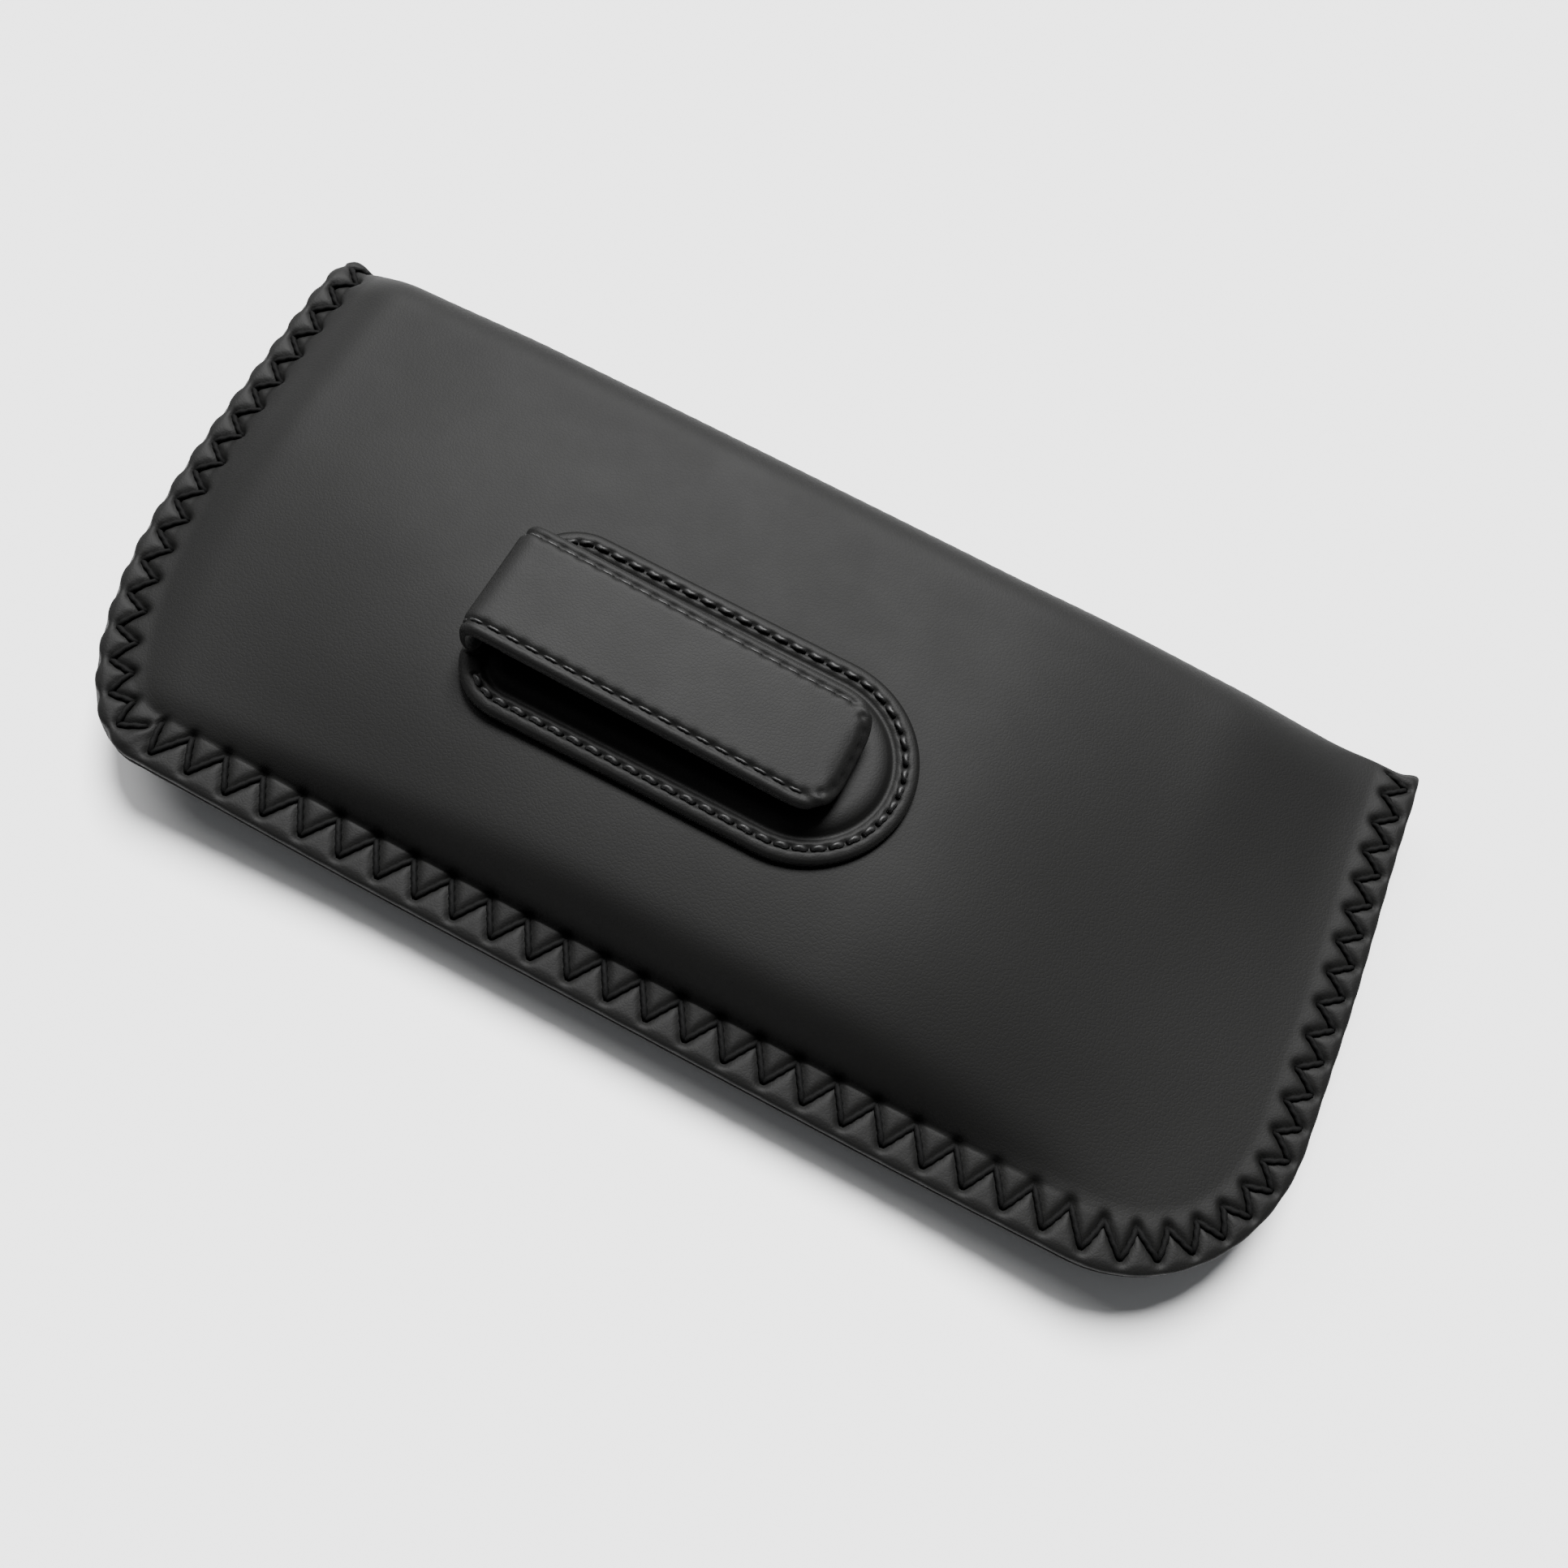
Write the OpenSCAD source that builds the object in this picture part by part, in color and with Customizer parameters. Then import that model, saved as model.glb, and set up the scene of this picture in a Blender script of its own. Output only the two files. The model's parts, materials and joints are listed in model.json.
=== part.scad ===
// Slip-in spectacle case of folded leather with a leather-covered spring clip on its back panel.
// It lies on its front panel, clip up. X runs from the mouth (-X) to the closed end (+X), Y from
// the closing seam (-Y) to the folded edge (+Y). The origin is under the middle, on the rest face.

/* [Case] */
// Length from the mouth to the closed end
case_len = 172; // [160:1:184]
// Width from the closing seam to the folded edge
case_wid = 82; // [76:1:90]
// Thickness of the empty case through its padded middle
case_thk = 14.5; // [13.5:0.5:17]
// Height of the closing seam's middle over the rest face
seam_z = 4.5; // [4:0.25:5.5]
// How far the folded edge bows outwards at mid length
fold_bow = 0.5; // [0:0.5:3]
// Radius of the folded edge, measured across the case
fold_r = 8; // [7:0.5:10]

/* [Corners] */
// Rounding of the mouth's seam-side corner, along the case
mouth_round_x = 20; // [16:1:24]
// Rounding of the mouth's seam-side corner, across the case
mouth_round_y = 50; // [40:1:54]
// Rounding of the closed end's seam-side corner, along the case
end_round_x = 23; // [18:1:26]
// Rounding of the closed end's seam-side corner, across the case
end_round_y = 26; // [20:1:30]

/* [Edges] */
// Width of the flat flange that the closing seam is sewn through
flange_w = 6.5; // [6:0.25:8]
// Width of the steep shoulder between the flange and the padded middle
shoulder_w = 7; // [5:0.5:9]
// Width of the gentle slope at the closed end
end_slope = 18; // [16:1:24]
// Width of the flat lip along each side of the mouth
lip_w = 5; // [4.5:0.25:6]
// Width of the slope behind the lip
mouth_slope = 5; // [4:0.5:7]
// Height of the back lip's outer face over the rest face
back_lip_z = 10.5; // [10:0.25:11.5]
// Height of the front lip's outer face over the rest face
front_lip_z = 0.8; // [0.6:0.1:1.2]

/* [Layers] */
// Thickness of the outer leather
leather_t = 1.2; // [1:0.1:1.4]
// Thickness of the foam in each panel
pad_t = 1.8; // [1.4:0.1:2]
// Thickness of the lining
lining_t = 0.6; // [0.4:0.1:0.8]

/* [Stitching] */
// Length of one V of the zigzag along the closing seam
zigzag_pitch = 5.4; // [4.5:0.1:6.5]
// Length of one V of the zigzag along each lip
lip_pitch = 5.2; // [4.5:0.1:6.5]
// Distance from the cut edge to the zigzag's outer points
zigzag_inset = 2.4; // [2:0.1:3]
// Width of the zigzag on the closing seam
zigzag_w = 3.7; // [3:0.1:4]
// Width of the zigzag on the lips
lip_zigzag_w = 2.4; // [1.8:0.1:2.6]
// Diameter of the zigzag thread
zigzag_thread_d = 0.8; // [0.6:0.1:1]
// Stitch length of the straight rows
stitch_len = 2.65; // [2:0.05:3.2]
// Diameter of the thread in the straight rows
row_thread_d = 0.5; // [0.4:0.05:0.6]

/* [Clip] */
// Where the clip's bend starts, along the case
bend_x = -33.5; // [-40:0.5:-28]
// The clip's centre line across the case
clip_y = -1.8; // [-4:0.2:4]
// Width of the steel strip
strip_w = 13; // [11:0.5:14]
// Thickness of the steel strip
strip_t = 0.8; // [0.6:0.1:1]
// Inner radius of the steel strip's bend
bend_r = 2.4; // [2.4:0.1:3.5]
// Straight length of the arm, from the bend to the rounded tip
arm_len = 44.5; // [38:0.5:50]
// How far the arm slopes down towards its tip, in degrees
arm_slope = 2; // [1:0.25:2.25]
// Length of the steel base leg
base_len = 42; // [34:1:44]
// Width of the leather-covered arm
arm_w = 17.5; // [17:0.5:20]
// Thickness of the arm's upper cover
cover_t = 1; // [0.8:0.1:1.2]
// Thickness of the arm's lower cover
under_cover_t = 0.8; // [0.6:0.1:0.8]

/* [Clip patch] */
// Length of the leather patch that holds the clip
patch_len = 59.5; // [56:0.5:62]
// Width of the patch
patch_w = 29.5; // [28:0.5:32]
// Thickness of the patch
patch_t = 1.2; // [1:0.1:1.2]
// Width of the raised middle of the patch
raised_w = 21; // [20:0.5:22]

/* [Hidden] */

x0 = -case_len / 2;
x1 = case_len / 2;
y0 = -case_wid / 2;
y1 = case_wid / 2;

// Gaps between neighbouring layers, and around the steel
layer_gap = 0.05;
pad_gap = 0.1;
steel_gap = 0.05;

// Each layer's face as [depth under the outer face in the sewn edges, depth in the padded middle]
sewn_leather_t = 0.9;
sewn_lining_t = 0.25;
LEATHER_OUT = [0, 0];
LEATHER_IN = [sewn_leather_t, leather_t];
LINING_OUT = [sewn_leather_t + layer_gap, leather_t + pad_t + 2 * pad_gap];
LINING_IN = LINING_OUT + [sewn_lining_t, lining_t];

// Half the thickness of the sewn flange
seam_h = LINING_IN[0] + layer_gap;

// ---- Outline and height of the case ----

function mix(a, b, t) = a + (b - a) * t;
function smooth(t) = let (c = max(0, min(1, t))) c * c * (3 - 2 * c);
// Rise of an ellipse with radii rx and ry, at distance d in from the end of its rx
function arc_rise(d, rx, ry) = ry * (1 - sqrt(max(0, 1 - pow(max(0, 1 - d / rx), 2))));

function y_low(x) = y0 + (x < 0 ? arc_rise(x - x0, mouth_round_x, mouth_round_y)
    : arc_rise(x1 - x, end_round_x, end_round_y));
function x_low(y) = x0 + arc_rise(y - y0, mouth_round_y, mouth_round_x);
function x_high(y) = x1 - arc_rise(y - y0, end_round_y, end_round_x);
function y_fold(x) = y1 - fold_bow * pow(x / x1, 2);
function y_fold_centre(x) = y_fold(x) - fold_r;

// 0 in the sewn edges and 1 in the padded middle
function puff(x, y) = smooth((y - y_low(x) - flange_w) / shoulder_w)
    * smooth((x_high(y) - x - flange_w) / end_slope)
    * smooth((x - x_low(y) - lip_w) / mouth_slope);
// 0 along the closing seam and 1 along the mouth, where the two panels part
function parting(x, y) = smooth((y - y0 - 3) / (0.8 * mouth_round_y))
    * (1 - smooth((x - x0 - lip_w) / 25));
function top_z(x, y) =
    mix(mix(seam_z + seam_h, back_lip_z, parting(x, y)), case_thk, puff(x, y));
function bottom_z(x, y) =
    mix(seam_z - seam_h, front_lip_z, parting(x, y)) * (1 - puff(x, y));
function depth(face, x, y) = mix(face[0], face[1], puff(x, y));

// ---- Folded sheets: one section across the case, repeated along it ----

middle_columns = 7;
left_x = x0 + mouth_round_x;
right_x = x1 - end_round_x;
// Distances in from the mouth and from the closed end at which the height changes its course
lip_back = lip_w + mouth_slope;
slope_back = flange_w + end_slope;
mouth_columns = [0, 0.06 * mouth_round_x, lip_w / 2, lip_w, lip_w + mouth_slope / 2, lip_back,
    mix(lip_back, mouth_round_x, 0.5), mouth_round_x];
end_columns = concat([for (t = [0 : 0.25 : 1]) mix(slope_back, flange_w, t)],
    [0.45 * flange_w, 0.12 * flange_w, 0]);
columns = concat(
    [for (d = mouth_columns) x0 + d],
    [for (i = [1 : middle_columns]) mix(left_x, x1 - slope_back, i / (middle_columns + 1))],
    [for (d = end_columns) x1 - d]);

// Rows across each panel: the cut edge, the shoulder, then shares of the way to the fold
shoulder_rows = 4;
panel_shares = [0.06, 0.15, 0.3, 0.6, 1];
fold_steps = [75 : -15 : -75];
row_count = 2 + shoulder_rows + len(panel_shares);
function row_y(x, k) = y_low(x) + (k == 0 ? 0
    : k <= 1 + shoulder_rows ? flange_w + shoulder_w * (k - 1) / shoulder_rows
    : mix(flange_w + shoulder_w, y_fold_centre(x) - y_low(x), panel_shares[k - 2 - shoulder_rows]));

// A height eased round the fold: h is the face's height over the fold's middle, beside the fold
function fold_z(x, y, zm, h, r) =
    zm + h * sqrt(max(0, 1 - pow(max(0, y - y_fold_centre(x)) / r, 2)));
// One face of the back or the front panel, with the fold included
function face_z(face, x, y, back) =
    let (yc = y_fold_centre(x), flat_y = min(y, yc), d = depth(face, x, flat_y))
    let (zt = top_z(x, flat_y), zb = bottom_z(x, flat_y), zm = (zt + zb) / 2, h = (zt - zb) / 2 - d)
    fold_z(x, y, zm, back ? h : -h, fold_r - d);

// One face's section at x: up the back panel, round the fold and back along the front panel
function section(face, x) =
    let (yc = y_fold_centre(x), r = fold_r - depth(face, x, yc))
    let (low = face_z(face, x, yc, false), high = face_z(face, x, yc, true))
    concat(
        [for (k = [0 : row_count - 1]) let (y = row_y(x, k)) [x, y, face_z(face, x, y, true)]],
        [for (a = fold_steps) [x, yc + r * cos(a), (low + high) / 2 + (high - low) / 2 * sin(a)]],
        [for (k = [row_count - 1 : -1 : 0]) let (y = row_y(x, k)) [x, y, face_z(face, x, y, false)]]);

// A sheet between two faces: both skins, the two cut edges along the seam and the two end edges
module folded_sheet(outer, inner) {
    rings = concat([for (x = columns) section(outer, x)], [for (x = columns) section(inner, x)]);
    m = len(columns);
    n = len(rings[0]);
    points = [for (ring = rings) for (p = ring) p];
    skins = [for (i = [0 : m - 2]) for (j = [0 : n - 2])
        let (a = i * n + j, b = a + 1, c = a + n, d = c + 1, s = m * n)
            each [[a, b, d], [a, d, c], [a + s, d + s, b + s], [a + s, c + s, d + s]]];
    seam_edges = [for (i = [0 : m - 2])
        let (a = i * n, c = a + n, b = a + n - 1, d = c + n - 1, s = m * n)
            each [[a, c, c + s], [a, c + s, a + s], [b, d + s, d], [b, b + s, d + s]]];
    end_edges = [for (j = [0 : n - 2])
        let (a = j, b = a + 1, c = (m - 1) * n + j, d = c + 1, s = m * n)
            each [[a, a + s, b + s], [a, b + s, b], [c, d, d + s], [c, d + s, c + s]]];
    polyhedron(points, concat(skins, seam_edges, end_edges), convexity = 8);
}

module outer_leather() {
    color("#2b2b2a") folded_sheet(LEATHER_OUT, LEATHER_IN);
}

module lining() {
    color("#3a3a3c") folded_sheet(LINING_OUT, LINING_IN);
}

// ---- Foam pads: flat plates in the padded middle of each panel ----

pad_edge = 0.4;
// Further inset from the rounded mouth corner, where the slope behind the lip turns
pad_corner_inset = 4.5;
pad_x0 = x0 + lip_back + pad_edge;
pad_x1 = x1 - slope_back - pad_edge;
pad_columns = 12;
function pad_low(x) = pad_edge + max(y_low(x) + flange_w + shoulder_w,
    y_low(max(x0, x - lip_back - pad_corner_inset)) + pad_corner_inset, y_low(min(x1, x + slope_back)));

module pad(z) {
    xs = [for (i = [0 : pad_columns]) mix(pad_x0, pad_x1, i / pad_columns)];
    low_side = [for (x = xs) [x, pad_low(x)]];
    fold_side = [for (i = [pad_columns : -1 : 0]) [xs[i], y_fold_centre(xs[i]) - pad_edge]];
    translate([0, 0, z]) linear_extrude(pad_t) polygon(concat(low_side, fold_side));
}

module back_pad() {
    color("#8c8c88") pad(case_thk - leather_t - pad_gap - pad_t);
}

module front_pad() {
    color("#8c8c88") pad(leather_t + pad_gap);
}

// ---- Threads: a six-sided tube swept along a path, mitred at each bend ----

thread_sides = 6;
function unit(v) = v / norm(v);
function thread_ring(path, i, r) =
    let (n = len(path), before = unit(path[max(1, i)] - path[max(1, i) - 1]))
    let (after = unit(path[min(n - 1, i + 1)] - path[min(n - 1, i + 1) - 1]))
    let (t = unit(before + after), side = unit(cross(t, [0, 0, 1])), up = cross(side, t))
    let (mitre = 1 / max(0.5, t * after))
    [for (k = [0 : thread_sides - 1]) let (a = 360 * k / thread_sides)
        path[i] + side * r * mitre * cos(a) + up * r * sin(a)];

module thread(path, d) {
    n = thread_sides;
    points = [for (i = [0 : len(path) - 1]) each thread_ring(path, i, d / 2)];
    last = len(points) - n;
    sides = [for (i = [0 : len(path) - 2]) for (k = [0 : n - 1])
        let (a = i * n + k, b = i * n + (k + 1) % n)
            each [[a, b + n, a + n], [a, b, b + n]]];
    caps = [[for (k = [n - 1 : -1 : 0]) k], [for (k = [0 : n - 1]) last + k]];
    polyhedron(points, concat(sides, caps), convexity = 8);
}

// A path of points as rows of [distance along it, x, y]
function measured(path) = [for (i = 0, s = 0; i < len(path);
    s = s + (i + 1 < len(path) ? norm(path[i + 1] - path[i]) : 0), i = i + 1)
        [s, path[i].x, path[i].y]];
function length_of(path) = let (m = measured(path)) m[len(m) - 1][0];
// Points spaced evenly along a path, each set in to its left by inset(k)
function stations(path, count, start, end) =
    let (m = measured(path), xs = [for (p = m) [p[0], p[1]]], ys = [for (p = m) [p[0], p[2]]])
    [for (k = [0 : count])
        let (s = mix(start, end, k / count), e = 0.05)
        let (p = [lookup(s, xs), lookup(s, ys)])
        let (t = unit([lookup(s + e, xs) - lookup(s - e, xs), lookup(s + e, ys) - lookup(s - e, ys)]))
            [p, [-t.y, t.x]]];

// The case's cut edge, from the mouth's folded corner round the seam to the closed end's
arc_step = 5;
cut_edge = concat(
    [[x0, y_fold(x0)]],
    [for (a = [0 : arc_step : 90])
        [left_x - mouth_round_x * cos(a), y0 + mouth_round_y * (1 - sin(a))]],
    [for (a = [0 : arc_step : 90])
        [right_x + end_round_x * sin(a), y0 + end_round_y * (1 - cos(a))]],
    [[x1, y_fold(x1)]]);
edge_len = length_of(cut_edge);
// Where the mouth ends and the closing seam begins, along the cut edge
seam_start = length_of([for (i = [0 : 90 / arc_step + 1]) cut_edge[i]]) - 2;
thread_end_inset = 3;

// A zigzag on the cut edge between two distances; each point's height comes from the case's faces
function zigzag(start, end, pitch, width, back, face, sign) =
    let (count = 2 * round((end - start) / pitch), places = stations(cut_edge, count, start, end))
    [for (k = [0 : count])
        let (p = places[k][0] + places[k][1] * (zigzag_inset + (k % 2 == 0 ? width : 0)))
        [p.x, p.y, face_z(face, p.x, p.y, back) + sign * zigzag_thread_d / 4]];

module seam_zigzag(back) {
    color("#141414") thread(zigzag(seam_start + 1, edge_len - thread_end_inset, zigzag_pitch,
        zigzag_w, back, LEATHER_OUT, back ? 1 : -1), zigzag_thread_d);
}

// The lips' inner threads stop short of the corner, where the two lips meet
lip_meeting = 18;
module lip_zigzag(back, face, sign) {
    gap = face == LEATHER_OUT ? 2 : lip_meeting;
    color("#141414") thread(zigzag(thread_end_inset, seam_start - gap, lip_pitch,
        lip_zigzag_w, back, face, sign), zigzag_thread_d);
}

module closing_seam_upper_thread() {
    seam_zigzag(true);
}

module closing_seam_lower_thread() {
    seam_zigzag(false);
}

module back_lip_outer_thread() {
    lip_zigzag(true, LEATHER_OUT, 1);
}

module back_lip_inner_thread() {
    lip_zigzag(true, LINING_IN, -1);
}

module front_lip_outer_thread() {
    lip_zigzag(false, LEATHER_OUT, -1);
}

module front_lip_inner_thread() {
    lip_zigzag(false, LINING_IN, 1);
}

// A straight row of stitches along a path: the thread dips at each needle hole
dip = 0.2;
function row(path, z, sign) =
    let (count = 2 * round(length_of(path) / stitch_len))
    let (places = stations(path, count, 0, length_of(path)))
    [for (k = [0 : count])
        let (p = places[k][0]) [p.x, p.y, z + sign * (row_thread_d / 2 - (k % 2 == 0 ? dip : 0))]];

// ---- Clip: a steel strip bent back over its base leg ----

// The bend's centre, and the radius of its outside
bend_z = case_thk + 2 * steel_gap + bend_r + strip_t;
bend_out = bend_r + strip_t;
// The bend is split where the arm hinges: the arm keeps the upper part and the base the lower
arm_bend_end = 164;
base_bend_start = 182;
round_fn = 96;

// A length of arc in the X-Z plane, in steps of about 6 degrees
function arc(r, from, to, x = 0, z = 0) =
    let (steps = ceil(abs(to - from) / 6))
    [for (i = [0 : steps]) let (a = mix(from, to, i / steps)) [x + r * cos(a), z + r * sin(a)]];

// A solid of a given width across the case, from its outline in the X-Z plane
module across(width, outline) {
    rotate([90, 0, 0]) translate([0, 0, -width / 2]) linear_extrude(width) polygon(outline);
}

// The plan of a strip along X with its far corners rounded
module strip_plan(from, to, width, corner_r) {
    translate([from, -width / 2]) square([to - corner_r - from, width]);
    translate([from, corner_r - width / 2]) square([to - from, width - 2 * corner_r]);
    for (side = [-1, 1])
        translate([to - corner_r, side * (width / 2 - corner_r)]) circle(corner_r, $fn = round_fn);
}

module at_bend(slope = 0) {
    translate([bend_x, clip_y, bend_z]) rotate([0, slope, 0]) children();
}

// A bent strip cut to its plan, so that its far corners are round
module bent_strip(width, outline, to, corner_r) {
    intersection() {
        across(width + 2, outline);
        translate([0, 0, -20]) linear_extrude(40) strip_plan(-20, to, width, corner_r);
    }
}

steel_corner = 3;

module clip_spring_base() {
    color("#b8babd") at_bend() bent_strip(strip_w, concat(arc(bend_out, base_bend_start, 270),
        [[base_len + 1, -bend_out], [base_len + 1, -bend_r]], arc(bend_r, 270, base_bend_start)),
        base_len, steel_corner);
}

module clip_spring_arm() {
    color("#b8babd") at_bend(arm_slope) bent_strip(strip_w, concat(arc(bend_out, arm_bend_end, 90),
        [[arm_len + 1, bend_out], [arm_len + 1, bend_r]], arc(bend_r, 90, arm_bend_end)),
        arm_len + 0.2, steel_corner);
}

// Heights in the arm's own frame, from the bend's centre
cover_top = bend_out + steel_gap + cover_t;
under_top = bend_r - steel_gap;
under_z = under_top - under_cover_t;
tip_r = cover_top - under_z;
arm_corner = 4;
steel_slot_w = strip_w + 2 * steel_gap;

// The upper cover goes round the bend and turns down over the strip's end
module arm_upper_cover() {
    side = concat(arc(cover_top, arm_bend_end, 90), arc(tip_r, 90, 0, arm_len, under_z),
        arc(tip_r - cover_t, 0, 90, arm_len, under_z), [[arm_len, bend_r]],
        arc(bend_r, 90, arm_bend_end));
    slot = concat(arc(bend_out + steel_gap, 180, 90), [[arm_len + 0.3, bend_out + steel_gap],
        [arm_len + 0.3, 0]]);
    color("#333332") at_bend(arm_slope) difference() {
        bent_strip(arm_w, side, arm_len + tip_r, arm_corner);
        across(steel_slot_w, slot);
    }
}

module arm_lower_cover() {
    color("#333332") at_bend(arm_slope) translate([0, 0, under_z]) linear_extrude(under_cover_t)
        strip_plan(0.5, arm_len + 1.2, arm_w, arm_corner);
}

// Two rows along the arm, near its long edges
arm_row_inset = 1.6;
arm_row_start = 1.5;
module arm_rows(z, sign) {
    for (side = [-1, 1]) {
        y = side * (arm_w / 2 - arm_row_inset);
        thread(row([[arm_row_start, y], [arm_len - 1, y]], z, sign), row_thread_d);
    }
}

module arm_upper_thread() {
    color("#141414") at_bend(arm_slope) arm_rows(cover_top, 1);
}

module arm_lower_thread() {
    color("#141414") at_bend(arm_slope) arm_rows(under_z, -1);
}

// ---- Patch: flat margin, raised middle over the base leg, and the slit that the strip leaves by ----

patch_x0 = bend_x - bend_out - cover_t + 0.3;
patch_corner = 8;
patch_floor = case_thk + steel_gap;
margin_top = patch_floor + patch_t;
raised_top = bend_z - bend_r + steel_gap + 0.8 * patch_t;
raised_x0 = bend_x + 0.4;
// The margin is as wide round the far end as along the sides
raised_end = patch_x0 + patch_len - (patch_w - raised_w) / 2;

// Plan of a patch with a half-round far end and rounded near corners
module patch_plan(from, to, width, near_r) {
    r = width / 2;
    translate([from, clip_y]) union() {
        translate([near_r, -r]) square([to - from - r - near_r, width]);
        translate([0, near_r - r]) square([near_r, width - 2 * near_r]);
        translate([to - from - r, 0]) circle(r, $fn = round_fn);
        for (side = [-1, 1])
            translate([near_r, side * (r - near_r)]) circle(near_r, $fn = round_fn);
    }
}

module clip_patch() {
    color("#2f2f2e") difference() {
        union() {
            translate([0, 0, patch_floor]) linear_extrude(patch_t)
                patch_plan(patch_x0, patch_x0 + patch_len, patch_w, patch_corner);
            translate([0, 0, patch_floor]) linear_extrude(raised_top - patch_floor)
                patch_plan(raised_x0, raised_end, raised_w, 2);
        }
        // Room for the steel base leg
        translate([bend_x - 1, clip_y - steel_slot_w / 2, patch_floor - 1])
            cube([base_len + 1 + 2 * steel_gap, steel_slot_w, 1 + strip_t + 2 * steel_gap]);
        // Slit under the bend
        translate([patch_x0 - 1, clip_y - steel_slot_w / 2, patch_floor - 1])
            cube([bend_x + 0.2 - patch_x0 + 1, steel_slot_w, patch_t + 10]);
    }
}

// The patch's row of stitches, from one side of the slit round the half-round end to the other
patch_row_inset = 1.9;
patch_row_r = patch_w / 2 - patch_row_inset;
patch_row_x0 = patch_x0 + patch_corner;
patch_end_x = patch_x0 + patch_len - patch_w / 2;
patch_row = concat(
    [[patch_row_x0, clip_y - patch_row_r]],
    [for (a = [-90 : 10 : 90]) [patch_end_x + patch_row_r * cos(a), clip_y + patch_row_r * sin(a)]],
    [[patch_row_x0, clip_y + patch_row_r]]);

module patch_upper_thread() {
    color("#141414") thread(row(patch_row, margin_top, 1), row_thread_d);
}

module patch_lower_thread() {
    color("#141414") thread(row(patch_row, case_thk - leather_t, -1), row_thread_d);
}

outer_leather();
lining();
back_pad();
front_pad();
closing_seam_upper_thread();
closing_seam_lower_thread();
back_lip_outer_thread();
back_lip_inner_thread();
front_lip_outer_thread();
front_lip_inner_thread();
clip_patch();
patch_upper_thread();
patch_lower_thread();
clip_spring_base();
clip_spring_arm();
arm_upper_cover();
arm_lower_cover();
arm_upper_thread();
arm_lower_thread();
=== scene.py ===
"""A soft leather spectacle case with a sprung pocket clip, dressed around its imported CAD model.

Lengths are in millimetres in the CAD's own frame, and turn into metres as each mesh is made.
X runs from the mouth to the closed end, Y from the closing seam to the folded edge.
"""

import json
import math

import bpy
import numpy as np
from mathutils import Matrix, Vector
from mathutils.geometry import delaunay_2d_cdt


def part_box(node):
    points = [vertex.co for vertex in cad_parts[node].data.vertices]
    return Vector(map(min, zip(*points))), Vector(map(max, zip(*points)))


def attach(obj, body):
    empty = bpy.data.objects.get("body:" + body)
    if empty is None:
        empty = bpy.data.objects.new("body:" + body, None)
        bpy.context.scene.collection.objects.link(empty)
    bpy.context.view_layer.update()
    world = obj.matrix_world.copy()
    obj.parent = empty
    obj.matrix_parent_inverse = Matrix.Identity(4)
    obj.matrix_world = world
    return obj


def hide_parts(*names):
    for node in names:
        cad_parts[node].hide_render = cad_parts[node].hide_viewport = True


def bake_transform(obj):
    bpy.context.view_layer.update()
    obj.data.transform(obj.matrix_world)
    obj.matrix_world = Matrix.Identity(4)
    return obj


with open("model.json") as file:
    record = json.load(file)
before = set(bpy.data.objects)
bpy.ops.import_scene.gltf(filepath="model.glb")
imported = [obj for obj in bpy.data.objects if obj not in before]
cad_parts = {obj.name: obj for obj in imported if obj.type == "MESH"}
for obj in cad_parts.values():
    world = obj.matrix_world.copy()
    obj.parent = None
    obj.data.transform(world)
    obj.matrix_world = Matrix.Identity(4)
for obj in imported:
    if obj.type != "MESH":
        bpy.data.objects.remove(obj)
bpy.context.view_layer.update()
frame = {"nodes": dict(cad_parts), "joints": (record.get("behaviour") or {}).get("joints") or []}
MM = 0.001


def box_mm(node):
    """The lowest and highest corner of a CAD node."""
    low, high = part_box(node)
    return np.array(low) / MM, np.array(high) / MM


# ---- Sizes ----

# The case's box: mouth, closing seam, closed end, folded edge and thickness
CASE_LOW, CASE_HIGH = box_mm("outer_leather")
X0, Y0 = CASE_LOW[:2]
X1, Y1, CASE_THK = CASE_HIGH

# Rounding of the corners, along and across the case
MOUTH_ROUND = (20.0, 50.0)
END_ROUND = (23.0, 26.0)

# The folded edge: its radius across the case, its bow, and how far it is drawn in from the box
FOLD_R = 8.0
FOLD_BOW = 0.5
FOLD_DRAWN_IN = 0.6
# A thinner fold lies flatter and reaches further out: by how much, and how much right at the closed end
FLAT_FOLD = 1.7
FLAT_FOLD_AT_END = 0.9
# How far the folded corners stand proud of the fold
EAR = 0.9

# How far the mouth's edge stands out by the fold, and how far the closed end is drawn in
MOUTH_STANDS_OUT = 1.9
END_DRAWN_IN = 1.3
END_DRAWN_IN_BY_FOLD = 0.9

# The sewn edges: width along the seam and at the closed end, mid height and half thickness
FLANGE_W = 6.5
END_FLANGE_W = 5.2
SEAM_Z = 5.5
SEAM_HALF = 1.25
# Rise of the sewn edges at the closed end and at the mouth's lower corner
SEAM_RISE_END = 1.9
SEAM_RISE_MOUTH = 2.4
# The back panel's fall from its full height at the mouth's lower corner and along the mouth
PANEL_FALL_CORNER = 2.4
PANEL_FALL_MOUTH = 1.0

# The lips of the mouth: width, and the heights of their outer faces
LIP_W = 4.2
BACK_LIP_Z = 9.4
FRONT_LIP_Z = 0.8

# Each face's depth under the outer surface: in the sewn edges, then in the padded middle
LEATHER_OUT = (0.0, 0.0)
LEATHER_IN = (0.9, 1.2)
LINING_OUT = (0.95, 3.2)
LINING_IN = (1.2, 3.8)

# The clip's patch, and the rounding of its near corners
PATCH_LOW, PATCH_HIGH = box_mm("clip_patch")
PATCH_W = PATCH_HIGH[1] - PATCH_LOW[1]
PATCH_CORNER = 8.0
CLIP_Y = (PATCH_LOW[1] + PATCH_HIGH[1]) / 2

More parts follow.
